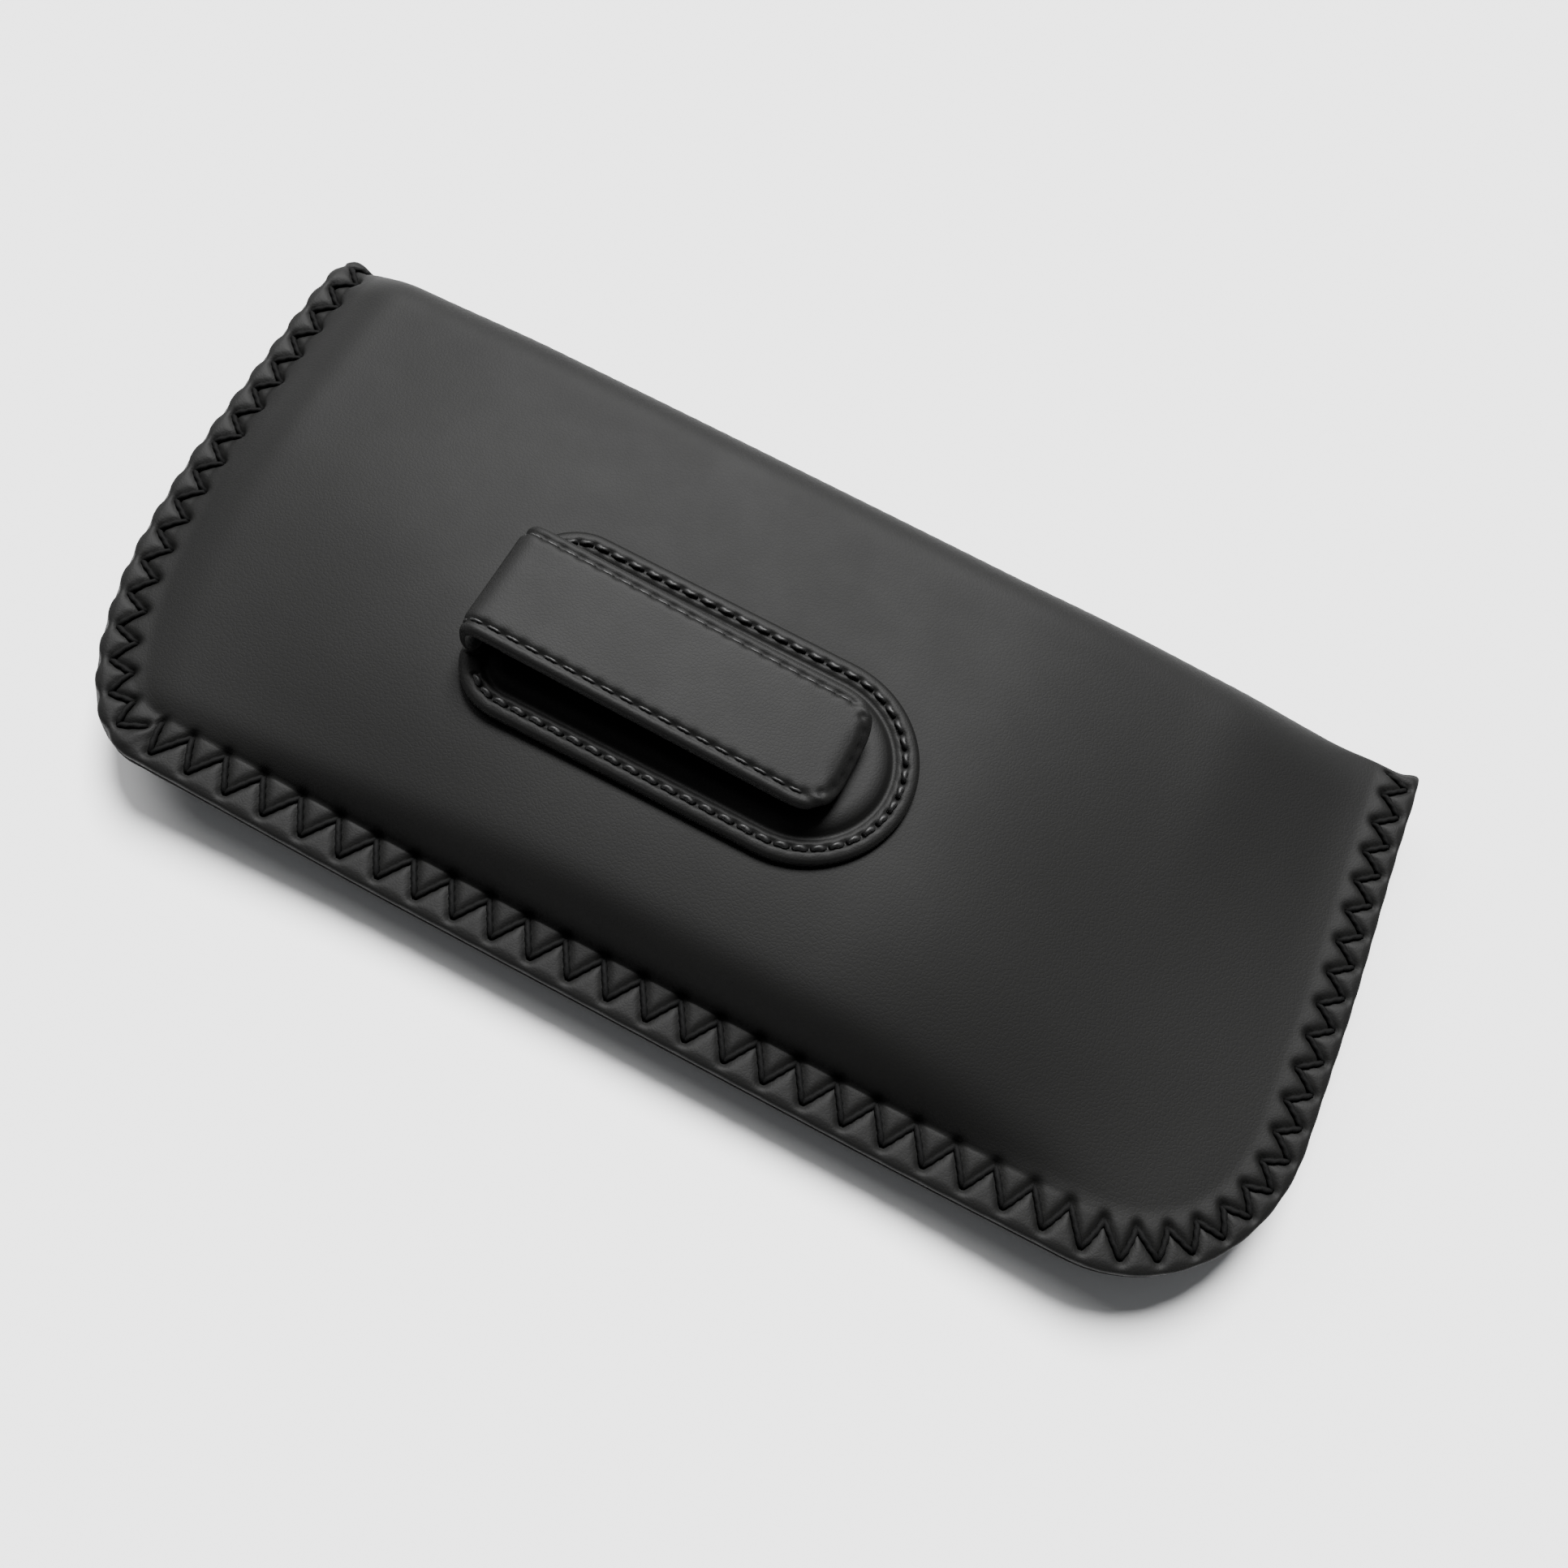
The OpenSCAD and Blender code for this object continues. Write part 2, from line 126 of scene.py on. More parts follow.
# The clip's arm, in its own frame: centred on the bend, with the steel strip between two covers
BEND = np.array(frame["joints"][0]["pos_m"]) / MM
STRIP_BEND_R = 2.4
STRIP_T = 0.8
STRIP_W = 13.0
STRIP_CLEAR = 0.05
COVER_T = 1.0
UNDER_COVER_T = 0.8
COVER_TOP = STRIP_BEND_R + STRIP_T + STRIP_CLEAR + COVER_T
UNDER_Z = STRIP_BEND_R - STRIP_CLEAR - UNDER_COVER_T
TIP_R = COVER_TOP - UNDER_Z
ARM_SLOPE = math.radians(2.0)
ARM_LOW, ARM_HIGH = box_mm("arm_upper_cover")
ARM_W = ARM_HIGH[1] - ARM_LOW[1]
ARM_LEN = 44.5

# Straight rows of stitches: length of a stitch, and distance of the row from the edge
ROW_STITCH = 2.65
PATCH_ROW = 1.9
ARM_ROW = 1.7


# ---- Outline and height of the case ----


def mix(a, b, t):
    return a + (b - a) * t


def smooth(t):
    c = np.clip(t, 0, 1)
    return c * c * (3 - 2 * c)


def arc_rise(d, rx, ry):
    """Rise of an ellipse with radii rx and ry, at distance d in from the end of its rx."""
    return ry * (1 - np.sqrt(np.clip(1 - np.clip(1 - d / rx, 0, 1) ** 2, 0, 1)))


def y_low(x):
    return Y0 + np.where(x < 0, arc_rise(x - X0, *MOUTH_ROUND), arc_rise(X1 - x, *END_ROUND))


def x_low(y):
    return X0 + arc_rise(y - Y0, MOUTH_ROUND[1], MOUTH_ROUND[0])


def x_high(y):
    return X1 - arc_rise(y - Y0, END_ROUND[1], END_ROUND[0])


def fold_centre(x):
    return Y1 - FOLD_BOW * (x / X1) ** 2 - FOLD_R


def true_x(x, y):
    """The mouth's edge stands out towards the fold, and the closed end is drawn in, most by the fold."""
    out = MOUTH_STANDS_OUT * smooth((y + 5) / 45) * smooth((-50 - x) / 36)
    drawn_in = (END_DRAWN_IN + END_DRAWN_IN_BY_FOLD * smooth(y / 35)) * smooth((x - 40) / 46)
    return x - out - drawn_in


def eased(t, power=2):
    """A slope that leaves its foot steeply and eases out at its top."""
    return 1 - (1 - np.clip(t, 0, 1)) ** power


def past_edges(x, y):
    """How far a place lies past the closing seam's flange, the closed end's flange and the lip."""
    return y - y_low(x) - FLANGE_W, x_high(y) - x - END_FLANGE_W, x - x_low(y) - LIP_W


def back_puff(x, y):
    """0 in the sewn edges and 1 in the padded middle of the back panel."""
    seam, end, mouth = past_edges(x, y)
    # The shoulder over the seam is steep in the middle and fades towards the mouth
    share = smooth((x + 66) / 62)
    quick = mix(0.22, 0.68, share)
    steep, gentle = eased(seam / mix(5.5, 10, share), 4), eased(seam / mix(40, 24, share))
    over_seam = quick * steep + (1 - quick) * gentle
    near_fold = 0.45 * smooth((y + 8) / 42)
    over_end = mix(smooth(end / 58), smooth(end / 26), near_fold)
    behind_lip = 0.88 * eased(mouth / 8.5) + 0.12 * smooth(mouth / 30)
    return over_seam * over_end * behind_lip


def front_puff(x, y):
    """0 in the sewn edges and 1 in the flat middle of the front panel."""
    seam, end, mouth = past_edges(x, y)
    return smooth(seam / 7) * smooth(end / 16) * smooth(mouth / 5)


def panel_top(x, y):
    """The back panel's own height, which sinks towards the mouth's lower corner."""
    corner = smooth((-30 - x) / 54) * smooth((14 - y) / 46)
    return CASE_THK - PANEL_FALL_CORNER * corner - PANEL_FALL_MOUTH * smooth((-52 - x) / 34)


def seam_middle(x, y):
    """Mid height of the sewn edges, which rise to the closed end and to the mouth's lower corner."""
    at_mouth = smooth((-28 - x) / 45) * smooth((10 - y) / 30)
    return SEAM_Z + SEAM_RISE_END * smooth((x - 35) / 40) + SEAM_RISE_MOUTH * at_mouth


def parting(x, y):
    """0 along the closing seam and 1 along the mouth, where the two panels part."""
    return smooth((y - Y0 - 3) / 40) * (1 - smooth((x - X0 - LIP_W) / 25))


def top_z(x, y):
    edge = mix(seam_middle(x, y) + SEAM_HALF, BACK_LIP_Z, parting(x, y))
    return mix(edge, panel_top(x, y), back_puff(x, y))


def bottom_z(x, y):
    edge = mix(seam_middle(x, y) - SEAM_HALF, FRONT_LIP_Z, parting(x, y))
    return edge * (1 - front_puff(x, y))


# The whole leather is one flat cut, folded once. Its own coordinates are x and w, the distance round
# from the folded edge: w is positive on the back panel and negative on the front panel.
HALF_FOLD = math.pi / 4 * (FOLD_R + CASE_THK / 2)


def case_surface(x, w, face=LEATHER_OUT):
    """Points of one face of the folded cut."""
    centre = fold_centre(x)
    past = np.abs(w) - HALF_FOLD
    angle = np.clip(w / HALF_FOLD, -1, 1) * math.pi / 2
    y_panel = centre - np.clip(past, 0, None)
    back, front = back_puff(x, y_panel), front_puff(x, y_panel)
    top = top_z(x, y_panel) - mix(*face, back)
    bottom = bottom_z(x, y_panel) + mix(*face, front)
    ears = EAR * (np.exp(-(((x - X0 - 1.6) / 1.9) ** 2)) + np.exp(-(((x - X1 + 0.6) / 1.5) ** 2)))
    thinner = np.sqrt(np.clip(1 - back**2, 0, 1)) * smooth(x / 40)
    flatter = mix(FLAT_FOLD, FLAT_FOLD_AT_END, smooth((x - 66) / 10)) * thinner
    reach = FOLD_R - mix(*face, back) + ears + flatter - FOLD_DRAWN_IN
    y = np.where(past > 0, y_panel, centre + reach * np.cos(angle))
    z = (top + bottom) / 2 + (top - bottom) / 2 * np.sin(angle)
    return np.stack([true_x(x, y_panel), y, z], 1)


def case_normals(x, w, face=LEATHER_OUT):
    """Directions out of one face of the folded cut."""
    step = 0.15
    along = case_surface(x + step, w, face) - case_surface(x - step, w, face)
    around = case_surface(x, w + step, face) - case_surface(x, w - step, face)
    n = np.cross(around, along)
    return n / np.maximum(np.linalg.norm(n, axis=1, keepdims=True), 1e-9)


# ---- Flat cuts: an even rim of rows along the outline, and a plain grid inside it ----

# Stands for the distance in from the outline of a point that lies past the rim's rows
PAST_RIM = 99.0


class Cut:
    """The outline of a flat cut, with directions inwards that turn gently round its corners.
    column is the spacing of its points, and turn the length over which the directions turn."""

    # The number of points is a multiple of this, so that cut_mesh can thin them out by halves
    MULTIPLE = 8

    def __init__(self, outline, column, turn):
        closed = np.vstack([outline, outline[:1]])
        run = np.concatenate([[0], np.cumsum(np.linalg.norm(np.diff(closed, axis=0), axis=1))])
        self.length = run[-1]
        self.count = self.MULTIPLE * round(self.length / column / self.MULTIPLE)
        self.s = np.arange(self.count) * self.length / self.count
        self.points = np.stack([np.interp(self.s, run, closed[:, i]) for i in (0, 1)], 1)
        tangent = np.roll(self.points, -1, 0) - np.roll(self.points, 1, 0)
        x, y = self.points.T
        turning = np.sign(np.sum(x * np.roll(y, -1) - np.roll(x, -1) * y))
        inward = turning * np.stack([-tangent[:, 1], tangent[:, 0]], 1)
        inward /= np.linalg.norm(inward, axis=1, keepdims=True)
        f = np.fft.fftfreq(self.count, self.length / self.count)
        blur = np.exp(-2 * (math.pi * f * turn / 2) ** 2)[:, None]
        inward = np.real(np.fft.ifft(np.fft.fft(inward, axis=0) * blur, axis=0))
        self.inward = inward / np.linalg.norm(inward, axis=1, keepdims=True)

    def at(self, s, d):
        """Points at distance s along the outline and d in from it."""
        s = np.mod(s, self.length)
        ends = np.append(self.s, self.length)
        base = [np.interp(s, ends, np.append(self.points[:, i], self.points[0, i])) for i in (0, 1)]
        turn = [np.interp(s, ends, np.append(self.inward[:, i], self.inward[0, i])) for i in (0, 1)]
        return np.stack(base, 1) + np.stack(turn, 1) * np.asarray(d).reshape(-1, 1)


def inside(points, loop):
    """Which points lie inside a closed loop."""
    px, py = points[:, :1], points[:, 1:]
    ax, ay = loop.T
    bx, by = np.roll(loop, -1, 0).T
    crosses = (ay > py) != (by > py)
    with np.errstate(divide="ignore", invalid="ignore"):
        at_x = ax + (py - ay) / (by - ay) * (bx - ax)
    return np.sum(crosses & (px < at_x), 1) % 2 == 1


def triangulate(ring, grid):
    """Triangles over a closed ring of points and the grid points inside it."""
    least_gap_squared = 0.5
    clear = np.array([np.min(np.sum((ring - g) ** 2, 1)) for g in grid]) > least_gap_squared
    grid = grid[clear & inside(grid, ring)]
    points = np.vstack([ring, grid])
    edges = [(i, (i + 1) % len(ring)) for i in range(len(ring))]
    out = delaunay_2d_cdt([Vector(p) for p in points], edges, [], 1, 1e-6)
    origin = [o[0] for o in out[3]]
    return grid, [[origin[i] for i in face] for face in out[2]]


def cut_mesh(cut, rows, grid, halve_after=math.inf, keep=1):
    """A mesh of a cut: points, distance along and in from the outline, faces, and the outer ring.
    Only every keep-th column is used, and half of those past the row at halve_after."""
    columns = np.arange(0, cut.count, keep)
    points, run, inset, faces, rings = [], [], [], [], []
    first = 0
    for k, d in enumerate(rows):
        if k and rows[k - 1] < halve_after <= d:
            columns = columns[::2]
        points.append(cut.points[columns] + cut.inward[columns] * d)
        run.append(cut.s[columns])
        inset.append(np.full(len(columns), float(d)))
        rings.append(first + np.arange(len(columns)))
        first += len(columns)
    for outer, inner in zip(rings, rings[1:]):
        faces += strip(outer, inner)
    loop = rings[-1]
    inner_grid, triangles = triangulate(points[-1], grid)
    points.append(inner_grid)
    run.append(np.zeros(len(inner_grid)))
    inset.append(np.full(len(inner_grid), PAST_RIM))
    size = len(loop)
    faces += [[int(loop[i]) if i < size else first + i - size for i in t] for t in triangles]
    return np.vstack(points), np.concatenate(run), np.concatenate(inset), faces, rings[0]


def strip(outer, inner):
    """Faces between two closed rings, where the outer one has as many points or a multiple."""
    ratio = len(outer) // len(inner)
    faces = []
    for j in range(len(inner)):
        a, b = int(inner[j]), int(inner[(j + 1) % len(inner)])
        fine = [int(outer[(ratio * j + i) % len(outer)]) for i in range(ratio + 1)]
        if ratio == 1:
            faces.append([fine[0], fine[1], b, a])
            continue
        half = ratio // 2
        faces += [[fine[i], fine[i + 1], a] for i in range(half)]
        faces.append([a, fine[half], b])
        faces += [[fine[i], fine[i + 1], b] for i in range(half, ratio)]
    return faces


def consistent(points, faces):
    """Faces turned so that those of a closed mesh look outwards."""
    volume = 0.0
    for face in faces:
        for i in range(1, len(face) - 1):
            a, b, c = points[face[0]], points[face[i]], points[face[i + 1]]
            volume += np.dot(a, np.cross(b, c))
    return faces if volume > 0 else [face[::-1] for face in faces]


def oriented(plan, faces):
    """Faces that all turn the same way in plan."""
    done = []
    for face in faces:
        x, y = plan[face].T
        area = np.sum(x * np.roll(y, -1) - np.roll(x, -1) * y)
        done.append(face if area > 0 else face[::-1])
    return done


def two_skins(outer, inner, place_outer, place_inner):
    """A closed mesh between two skins of one cut, with the number of faces in each part.
    Each skin is a cut_mesh, and its place function gives the points of that skin."""
    plan_o, run_o, in_o, faces_o, ring_o = outer
    plan_i, run_i, in_i, faces_i, ring_i = inner
    points = np.vstack([place_outer(plan_o, run_o, in_o), place_inner(plan_i, run_i, in_i)])
    shift = len(plan_o)
    ring_i = ring_i + shift
    top = oriented(plan_o, faces_o)
    under = [[i + shift for i in face[::-1]] for face in oriented(plan_i, faces_i)]
    rim = strip(ring_o, ring_i)
    # The rim follows the turn of the outer skin's own edges
    edge = {(a, b) for face in top for a, b in zip(face, face[1:] + face[:1])}
    if (int(ring_o[0]), int(ring_o[1])) in edge:
        rim = [face[::-1] for face in rim]
    faces = top + under + rim
    return points, consistent(points, faces), (len(top), len(under), len(rim))


def grid_over(low, high, step):
    """The points of an even grid between two corners."""
    xs, ys = np.meshgrid(np.arange(low[0], high[0], step), np.arange(low[1], high[1], step))
    return np.stack([xs.ravel(), ys.ravel()], 1)


def make_piece(name, points, faces, materials, parts=()):
    """An object from points in millimetres. parts gives how many faces take each material."""
    mesh = bpy.data.meshes.new(name)
    mesh.from_pydata((np.asarray(points) * MM).tolist(), [], [list(map(int, f)) for f in faces])
    for material in materials:
        mesh.materials.append(material)
    if parts:
        index = np.repeat(np.arange(len(parts)), parts).astype(np.int32)
        mesh.polygons.foreach_set("material_index", index)
    mesh.polygons.foreach_set("use_smooth", np.ones(len(mesh.polygons), bool))
    mesh.update()
    piece = bpy.data.objects.new(name, mesh)
    bpy.context.scene.collection.objects.link(piece)
    return piece


# ---- Stitches ----


class Zigzag:
    """A zigzag on a cut's outline: even holes lie on its inner side and odd holes near the edge.
    Past narrow_from it changes gradually, and is finer, narrower and nearer the edge."""

    CHANGE_RUN = 25.0
    FINER = 0.15
    NARROWER = 1.6
    NEARER = 0.3
    # How far across a thread, a hole and an outer hole press the leather
    THREAD_GROOVE = 0.55
    HOLE_GROOVE = 0.7
    HOLE_DRAW = 2.0

    def __init__(self, start, end, pitch, inset, width, narrow_from=math.inf):
        self.inset, self.width, self.narrow_from = inset, width, narrow_from
        self.run = np.linspace(start, end, 600)
        density = 1 + self.FINER * self.narrow(self.run)
        self.count = 2 * round((end - start) / pitch * density.mean())
        turns = np.cumsum(density) - density[0]
        self.index = turns / turns[-1] * self.count

    def narrow(self, s):
        return smooth((s - self.narrow_from) / self.CHANGE_RUN)

    def index_at(self, s):
        """The number of the stitch at each place, which grows by one from hole to hole."""
        return np.interp(s, self.run, self.index)

    def inner(self, s):
        """How far the inner holes lie from the edge."""
        return self.inset + self.width - self.NARROWER * self.narrow(s)

    def hole(self, k):
        """Place of a hole along and in from the outline."""
        k = np.clip(k, 0, self.count)
        s = np.interp(k, self.index, self.run)
        outer = self.inset - self.NEARER * self.narrow(s)
        return np.stack([s, np.where(k % 2 == 0, self.inner(s), outer)], 1)

    def distance(self, s, d):
        """Distance from each point to the nearest thread and to the nearest hole."""
        p = np.stack([s, d], 1)
        first = np.floor(self.index_at(s))
        thread = np.full(len(s), math.inf)
        hole = np.full(len(s), math.inf)
        for k in (first - 1, first, first + 1):
            k = np.clip(k, 0, self.count - 1)
            a, b = self.hole(k), self.hole(k + 1)
            t = np.clip(np.sum((p - a) * (b - a), 1) / np.sum((b - a) ** 2, 1), 0, 1)
            thread = np.minimum(thread, np.linalg.norm(p - a - (b - a) * t[:, None], axis=1))
            hole = np.minimum(hole, np.linalg.norm(p - a, axis=1))
            hole = np.minimum(hole, np.linalg.norm(p - b, axis=1))
        return thread, hole

    def reach(self, s):
        """1 along the zigzag and 0 past its ends."""
        return smooth((s - self.run[0] + 2) / 2) * smooth((self.run[-1] + 2 - s) / 2)

    def relief(self, s, d, puff, groove):
        """The leather sinks under the thread and swells between the stitches."""
        thread, hole = self.distance(s, d)
        swell = puff * (1 - np.exp(-(thread**2)))
        swell *= smooth(d / 1.2) * smooth((self.inner(s) + 2.4 - d) / 2.8)
        sink = np.exp(-((thread / self.THREAD_GROOVE) ** 2)) + np.exp(-((hole / self.HOLE_GROOVE) ** 2))
        return (swell - groove * sink) * self.reach(s)

    def scallop(self, s, d, depth):
        """How far the cut edge is drawn in, most of all by the outer holes."""
        wave = 0.5 + 0.5 * np.cos(math.pi * (self.index_at(s) - 1))
        return depth * wave**1.5 * np.exp(-((d / self.HOLE_DRAW) ** 2)) * self.reach(s)

    def stitches(self, samples):
        """Paths of the stitches, as distances along and in from the outline."""
        k = np.arange(self.count)
        a, b = self.hole(k), self.hole(k + 1)
        t = np.linspace(0, 1, samples)[None, :, None]
        return a[:, None] + (b - a)[:, None] * t


def row_paths(start, end, length, inset, visible, samples):
    """Paths of a straight row of stitches, each hidden at both of its ends."""
    count = round((end - start) / length)
    pitch = (end - start) / count
    k = np.arange(count)[:, None]
    t = np.linspace(0.5 - visible / 2, 0.5 + visible / 2, samples)[None]
    s = start + (k + t) * pitch
    return np.stack([s, np.full_like(s, inset)], 2)


def row_relief(s, d, start, end, length, inset, depth):
    """The leather sinks along a row, and most at its needle holes."""
    half_width, between_holes = 0.5, 0.35
    count = round((end - start) / length)
    phase = (s - start) / (end - start) * count
    at_hole = 0.5 + 0.5 * np.cos(2 * math.pi * phase)
    along = smooth(s - start + 1) * smooth(end + 1 - s)
    across = np.exp(-(((d - inset) / half_width) ** 2))
    return -depth * along * across * mix(between_holes, 1, at_hole**2)


def twisted(paths, ups, radius, sides, twist=2.1, lobes=2, lobe=0.16):
    """Closed tubes along paths of points, with the lobed section of a twisted thread."""
    count, samples = paths.shape[:2]
    tangent = np.gradient(paths, axis=1)
    tangent /= np.linalg.norm(tangent, axis=2, keepdims=True)
    side = np.cross(tangent, ups)
    side /= np.linalg.norm(side, axis=2, keepdims=True)
    up = np.cross(side, tangent)
    run = np.linalg.norm(np.diff(paths, axis=1, prepend=paths[:, :1]), axis=2).cumsum(1)
    theta = 2 * math.pi * np.arange(sides) / sides
    turn = theta[None, None] - twist * run[:, :, None] / (2 * radius)
    r = radius * (1 - lobe + lobe * np.cos(lobes * turn))[..., None]
    round_it = side[:, :, None] * np.cos(theta)[:, None] + up[:, :, None] * np.sin(theta)[:, None]
    points = paths[:, :, None] + r * round_it
    faces = []
    for n in range(count):
        base = n * samples * sides
        for i in range(samples - 1):
            for k in range(sides):
                a = base + i * sides + k
                b = base + i * sides + (k + 1) % sides
                faces.append([a, b, b + sides, a + sides])
        faces.append([base + k for k in range(sides)][::-1])
        faces.append([base + (samples - 1) * sides + k for k in range(sides)])
    return points.reshape(-1, 3), faces


def thread_piece(name, paths, place, normal, finish, radius, lift, dip, sides=10):
    """Stitches on a surface: each lies lift over it and dives by dip at its ends."""
    count, samples = paths.shape[:2]
    s, d = paths.reshape(-1, 2).T
    base, up = place(s, d), normal(s, d)
    t = np.tile(np.linspace(-1, 1, samples), count)
    height = lift - dip * np.abs(t) ** 5
    points = (base + up * height[:, None]).reshape(count, samples, 3)
    tube, faces = twisted(points, up.reshape(count, samples, 3), radius, sides)
    return make_piece(name, tube, consistent(tube, faces), [finish])


# ---- Materials ----


def material(name, **values):
    """A new material with its shader's plain values set."""
    made = bpy.data.materials.new(name)
    made.use_nodes = True
    shader = made.node_tree.nodes["Principled BSDF"]
    for key, value in values.items():
        shader.inputs[key.replace("_", " ")].default_value = value
    return made, made.node_tree, shader


def add(tree, kind, **values):
    """A node with its sockets and properties set by name."""
    node = tree.nodes.new(kind)
    for key, value in values.items():
        if key in node.inputs:
            node.inputs[key].default_value = value
        else:
            setattr(node, key, value)
    return node


def object_space(tree, stretch=(1, 1, 1)):
    """Object coordinates, stretched along each axis."""
    coordinates = add(tree, "ShaderNodeTexCoord")
    mapping = add(tree, "ShaderNodeMapping", Scale=stretch)
    tree.links.new(coordinates.outputs["Object"], mapping.inputs["Vector"])
    return mapping.outputs["Vector"]


def noise_of(tree, where, size_mm, detail=3.0, roughness=0.55):
    node = add(tree, "ShaderNodeTexNoise", Scale=1 / (size_mm * MM), Detail=detail, Roughness=roughness)
    tree.links.new(where, node.inputs["Vector"])
    return node.outputs["Fac"]


def cells_of(tree, where, size_mm, feature="DISTANCE_TO_EDGE"):
    node = add(tree, "ShaderNodeTexVoronoi", Scale=1 / (size_mm * MM), feature=feature)
    tree.links.new(where, node.inputs["Vector"])
    return node.outputs["Distance"]


def ramp(tree, source, stops):
    """A colour ramp from (position, colour or grey level) stops."""
    node = add(tree, "ShaderNodeValToRGB")
    elements = node.color_ramp.elements
    while len(elements) < len(stops):
        elements.new(0.5)
    for element, (position, colour) in zip(elements, stops):
        element.position = position
        element.color = (*colour, 1) if isinstance(colour, tuple) else (colour, colour, colour, 1)
    tree.links.new(source, node.inputs["Fac"])
    return node.outputs["Color"]


def spread(tree, source, low, high):
    """A value from 0.3..0.7 of a noise spread over low..high."""
    node = add(tree, "ShaderNodeMapRange")
    for socket, value in zip(("From Min", "From Max", "To Min", "To Max"), (0.3, 0.7, low, high)):
        node.inputs[socket].default_value = value
    tree.links.new(source, node.inputs["Value"])
    return node.outputs["Result"]


def colour_by(tree, shader, source, stops):
    """Colours a shader with a ramp over a texture."""
    tree.links.new(ramp(tree, source, stops), shader.inputs["Base Color"])


def rough_by(tree, shader, source, low, high):
    """Varies a shader's roughness with a texture."""
    tree.links.new(spread(tree, source, low, high), shader.inputs["Roughness"])


def bump(tree, shader, layers):
    """Stacks bumps of (height source, height in mm, strength) on a shader."""
    before = None
    for source, height_mm, strength in layers:
        node = add(tree, "ShaderNodeBump", Strength=strength, Distance=height_mm * MM)
        tree.links.new(source, node.inputs["Height"])
        if before is not None:
            tree.links.new(before, node.inputs["Normal"])
        before = node.outputs["Normal"]
    tree.links.new(before, shader.inputs["Normal"])


DYE_DARK = (0.0030, 0.0030, 0.0029)
DYE_LIGHT = (0.0038, 0.0038, 0.0036)


def leather(name, rough, grain_mm, grain):
    """Smooth dyed leather: fine pores, faint creases, and a finish rubbed unevenly."""
    made, tree, shader = material(name, Specular_IOR_Level=0.115)
    where = object_space(tree)
    colour_by(tree, shader, noise_of(tree, where, 26, 4), [(0.3, DYE_DARK), (0.7, DYE_LIGHT)])
    patchy = noise_of(tree, where, 9, 5, 0.6)
    rough_by(tree, shader, patchy, rough - 0.015, rough + 0.015)
    pores = ramp(tree, cells_of(tree, where, grain_mm), [(0.0, 0.0), (0.22, 1.0)])
    fine = noise_of(tree, where, grain_mm / 3, 2)
    bump(tree, shader, [(patchy, 0.05, 0.2), (pores, 0.03, grain), (fine, 0.02, grain)])
    return made


def raw_edge():
    """The cut edge: dyed fibres, matt and a little darker than the finish."""
    made, tree, shader = material("leather_cut_edge", Specular_IOR_Level=0.2)
    where = object_space(tree)
    fibres = noise_of(tree, where, 0.35, 4)
    colour_by(tree, shader, fibres, [(0.3, (0.003, 0.003, 0.003)), (0.75, (0.008, 0.008, 0.008))])
    rough_by(tree, shader, fibres, 0.55, 0.75)
    bump(tree, shader, [(fibres, 0.06, 0.7)])
    return made


def flesh_side():
    """The leather's suede back."""
    made, tree, shader = material("leather_flesh_side", Roughness=0.85, Sheen_Weight=0.25)
    where = object_space(tree)
    nap = noise_of(tree, where, 0.4, 5, 0.7)
    colour_by(tree, shader, nap, [(0.3, (0.006, 0.006, 0.006)), (0.7, (0.014, 0.014, 0.0135))])
    bump(tree, shader, [(nap, 0.08, 0.6)])
    return made


def thread_finish(name, gloss):
    """Black thread with fine filaments."""
    made, tree, shader = material(name, Specular_IOR_Level=gloss)
    rough = 0.62 - 0.6 * gloss
    where = object_space(tree)
    filaments = noise_of(tree, where, 0.12, 3)
    colour_by(tree, shader, filaments, [(0.3, (0.002, 0.002, 0.002)), (0.75, (0.006, 0.006, 0.006))])
    rough_by(tree, shader, filaments, rough, rough + 0.18)
    bump(tree, shader, [(filaments, 0.03, 0.5)])
    return made


def suede_lining():
    """A charcoal brushed cloth with a soft nap over a fine weave."""
    made, tree, shader = material("lining_brushed_cloth", Roughness=0.92, Sheen_Weight=0.4)
    where = object_space(tree)
    nap = noise_of(tree, where, 0.9, 6, 0.7)
    colour_by(tree, shader, nap, [(0.3, (0.011, 0.011, 0.012)), (0.7, (0.022, 0.022, 0.024))])
    # The wave texture repeats 20 times in a unit at scale 1
    weave = add(tree, "ShaderNodeTexWave", Scale=1 / (0.6 * MM) / 20, Distortion=1.2, Detail=2)
    tree.links.new(where, weave.inputs["Vector"])
    bump(tree, shader, [(weave.outputs["Fac"], 0.05, 0.4), (nap, 0.1, 0.6)])
    return made


def foam_finish():
    """Grey open-cell foam."""
    made, tree, shader = material("foam_open_cell", Roughness=0.95)
    where = object_space(tree)
    cells = cells_of(tree, where, 0.7, "F1")
    colour_by(tree, shader, cells, [(0.0, (0.32, 0.32, 0.31)), (0.8, (0.16, 0.16, 0.155))])
    bump(tree, shader, [(cells, 0.2, 0.8)])
    return made


def spring_steel():
    """Bright rolled steel strip with its grain along the strip."""
    made, tree, shader = material("spring_steel_rolled", Metallic=1.0)
    where = object_space(tree, (0.06, 1, 1))
    grain = noise_of(tree, where, 0.25, 4)
    colour_by(tree, shader, grain, [(0.3, (0.42, 0.42, 0.43)), (0.7, (0.62, 0.62, 0.63))])
    rough_by(tree, shader, grain, 0.26, 0.4)
    bump(tree, shader, [(grain, 0.01, 0.3)])
    return made


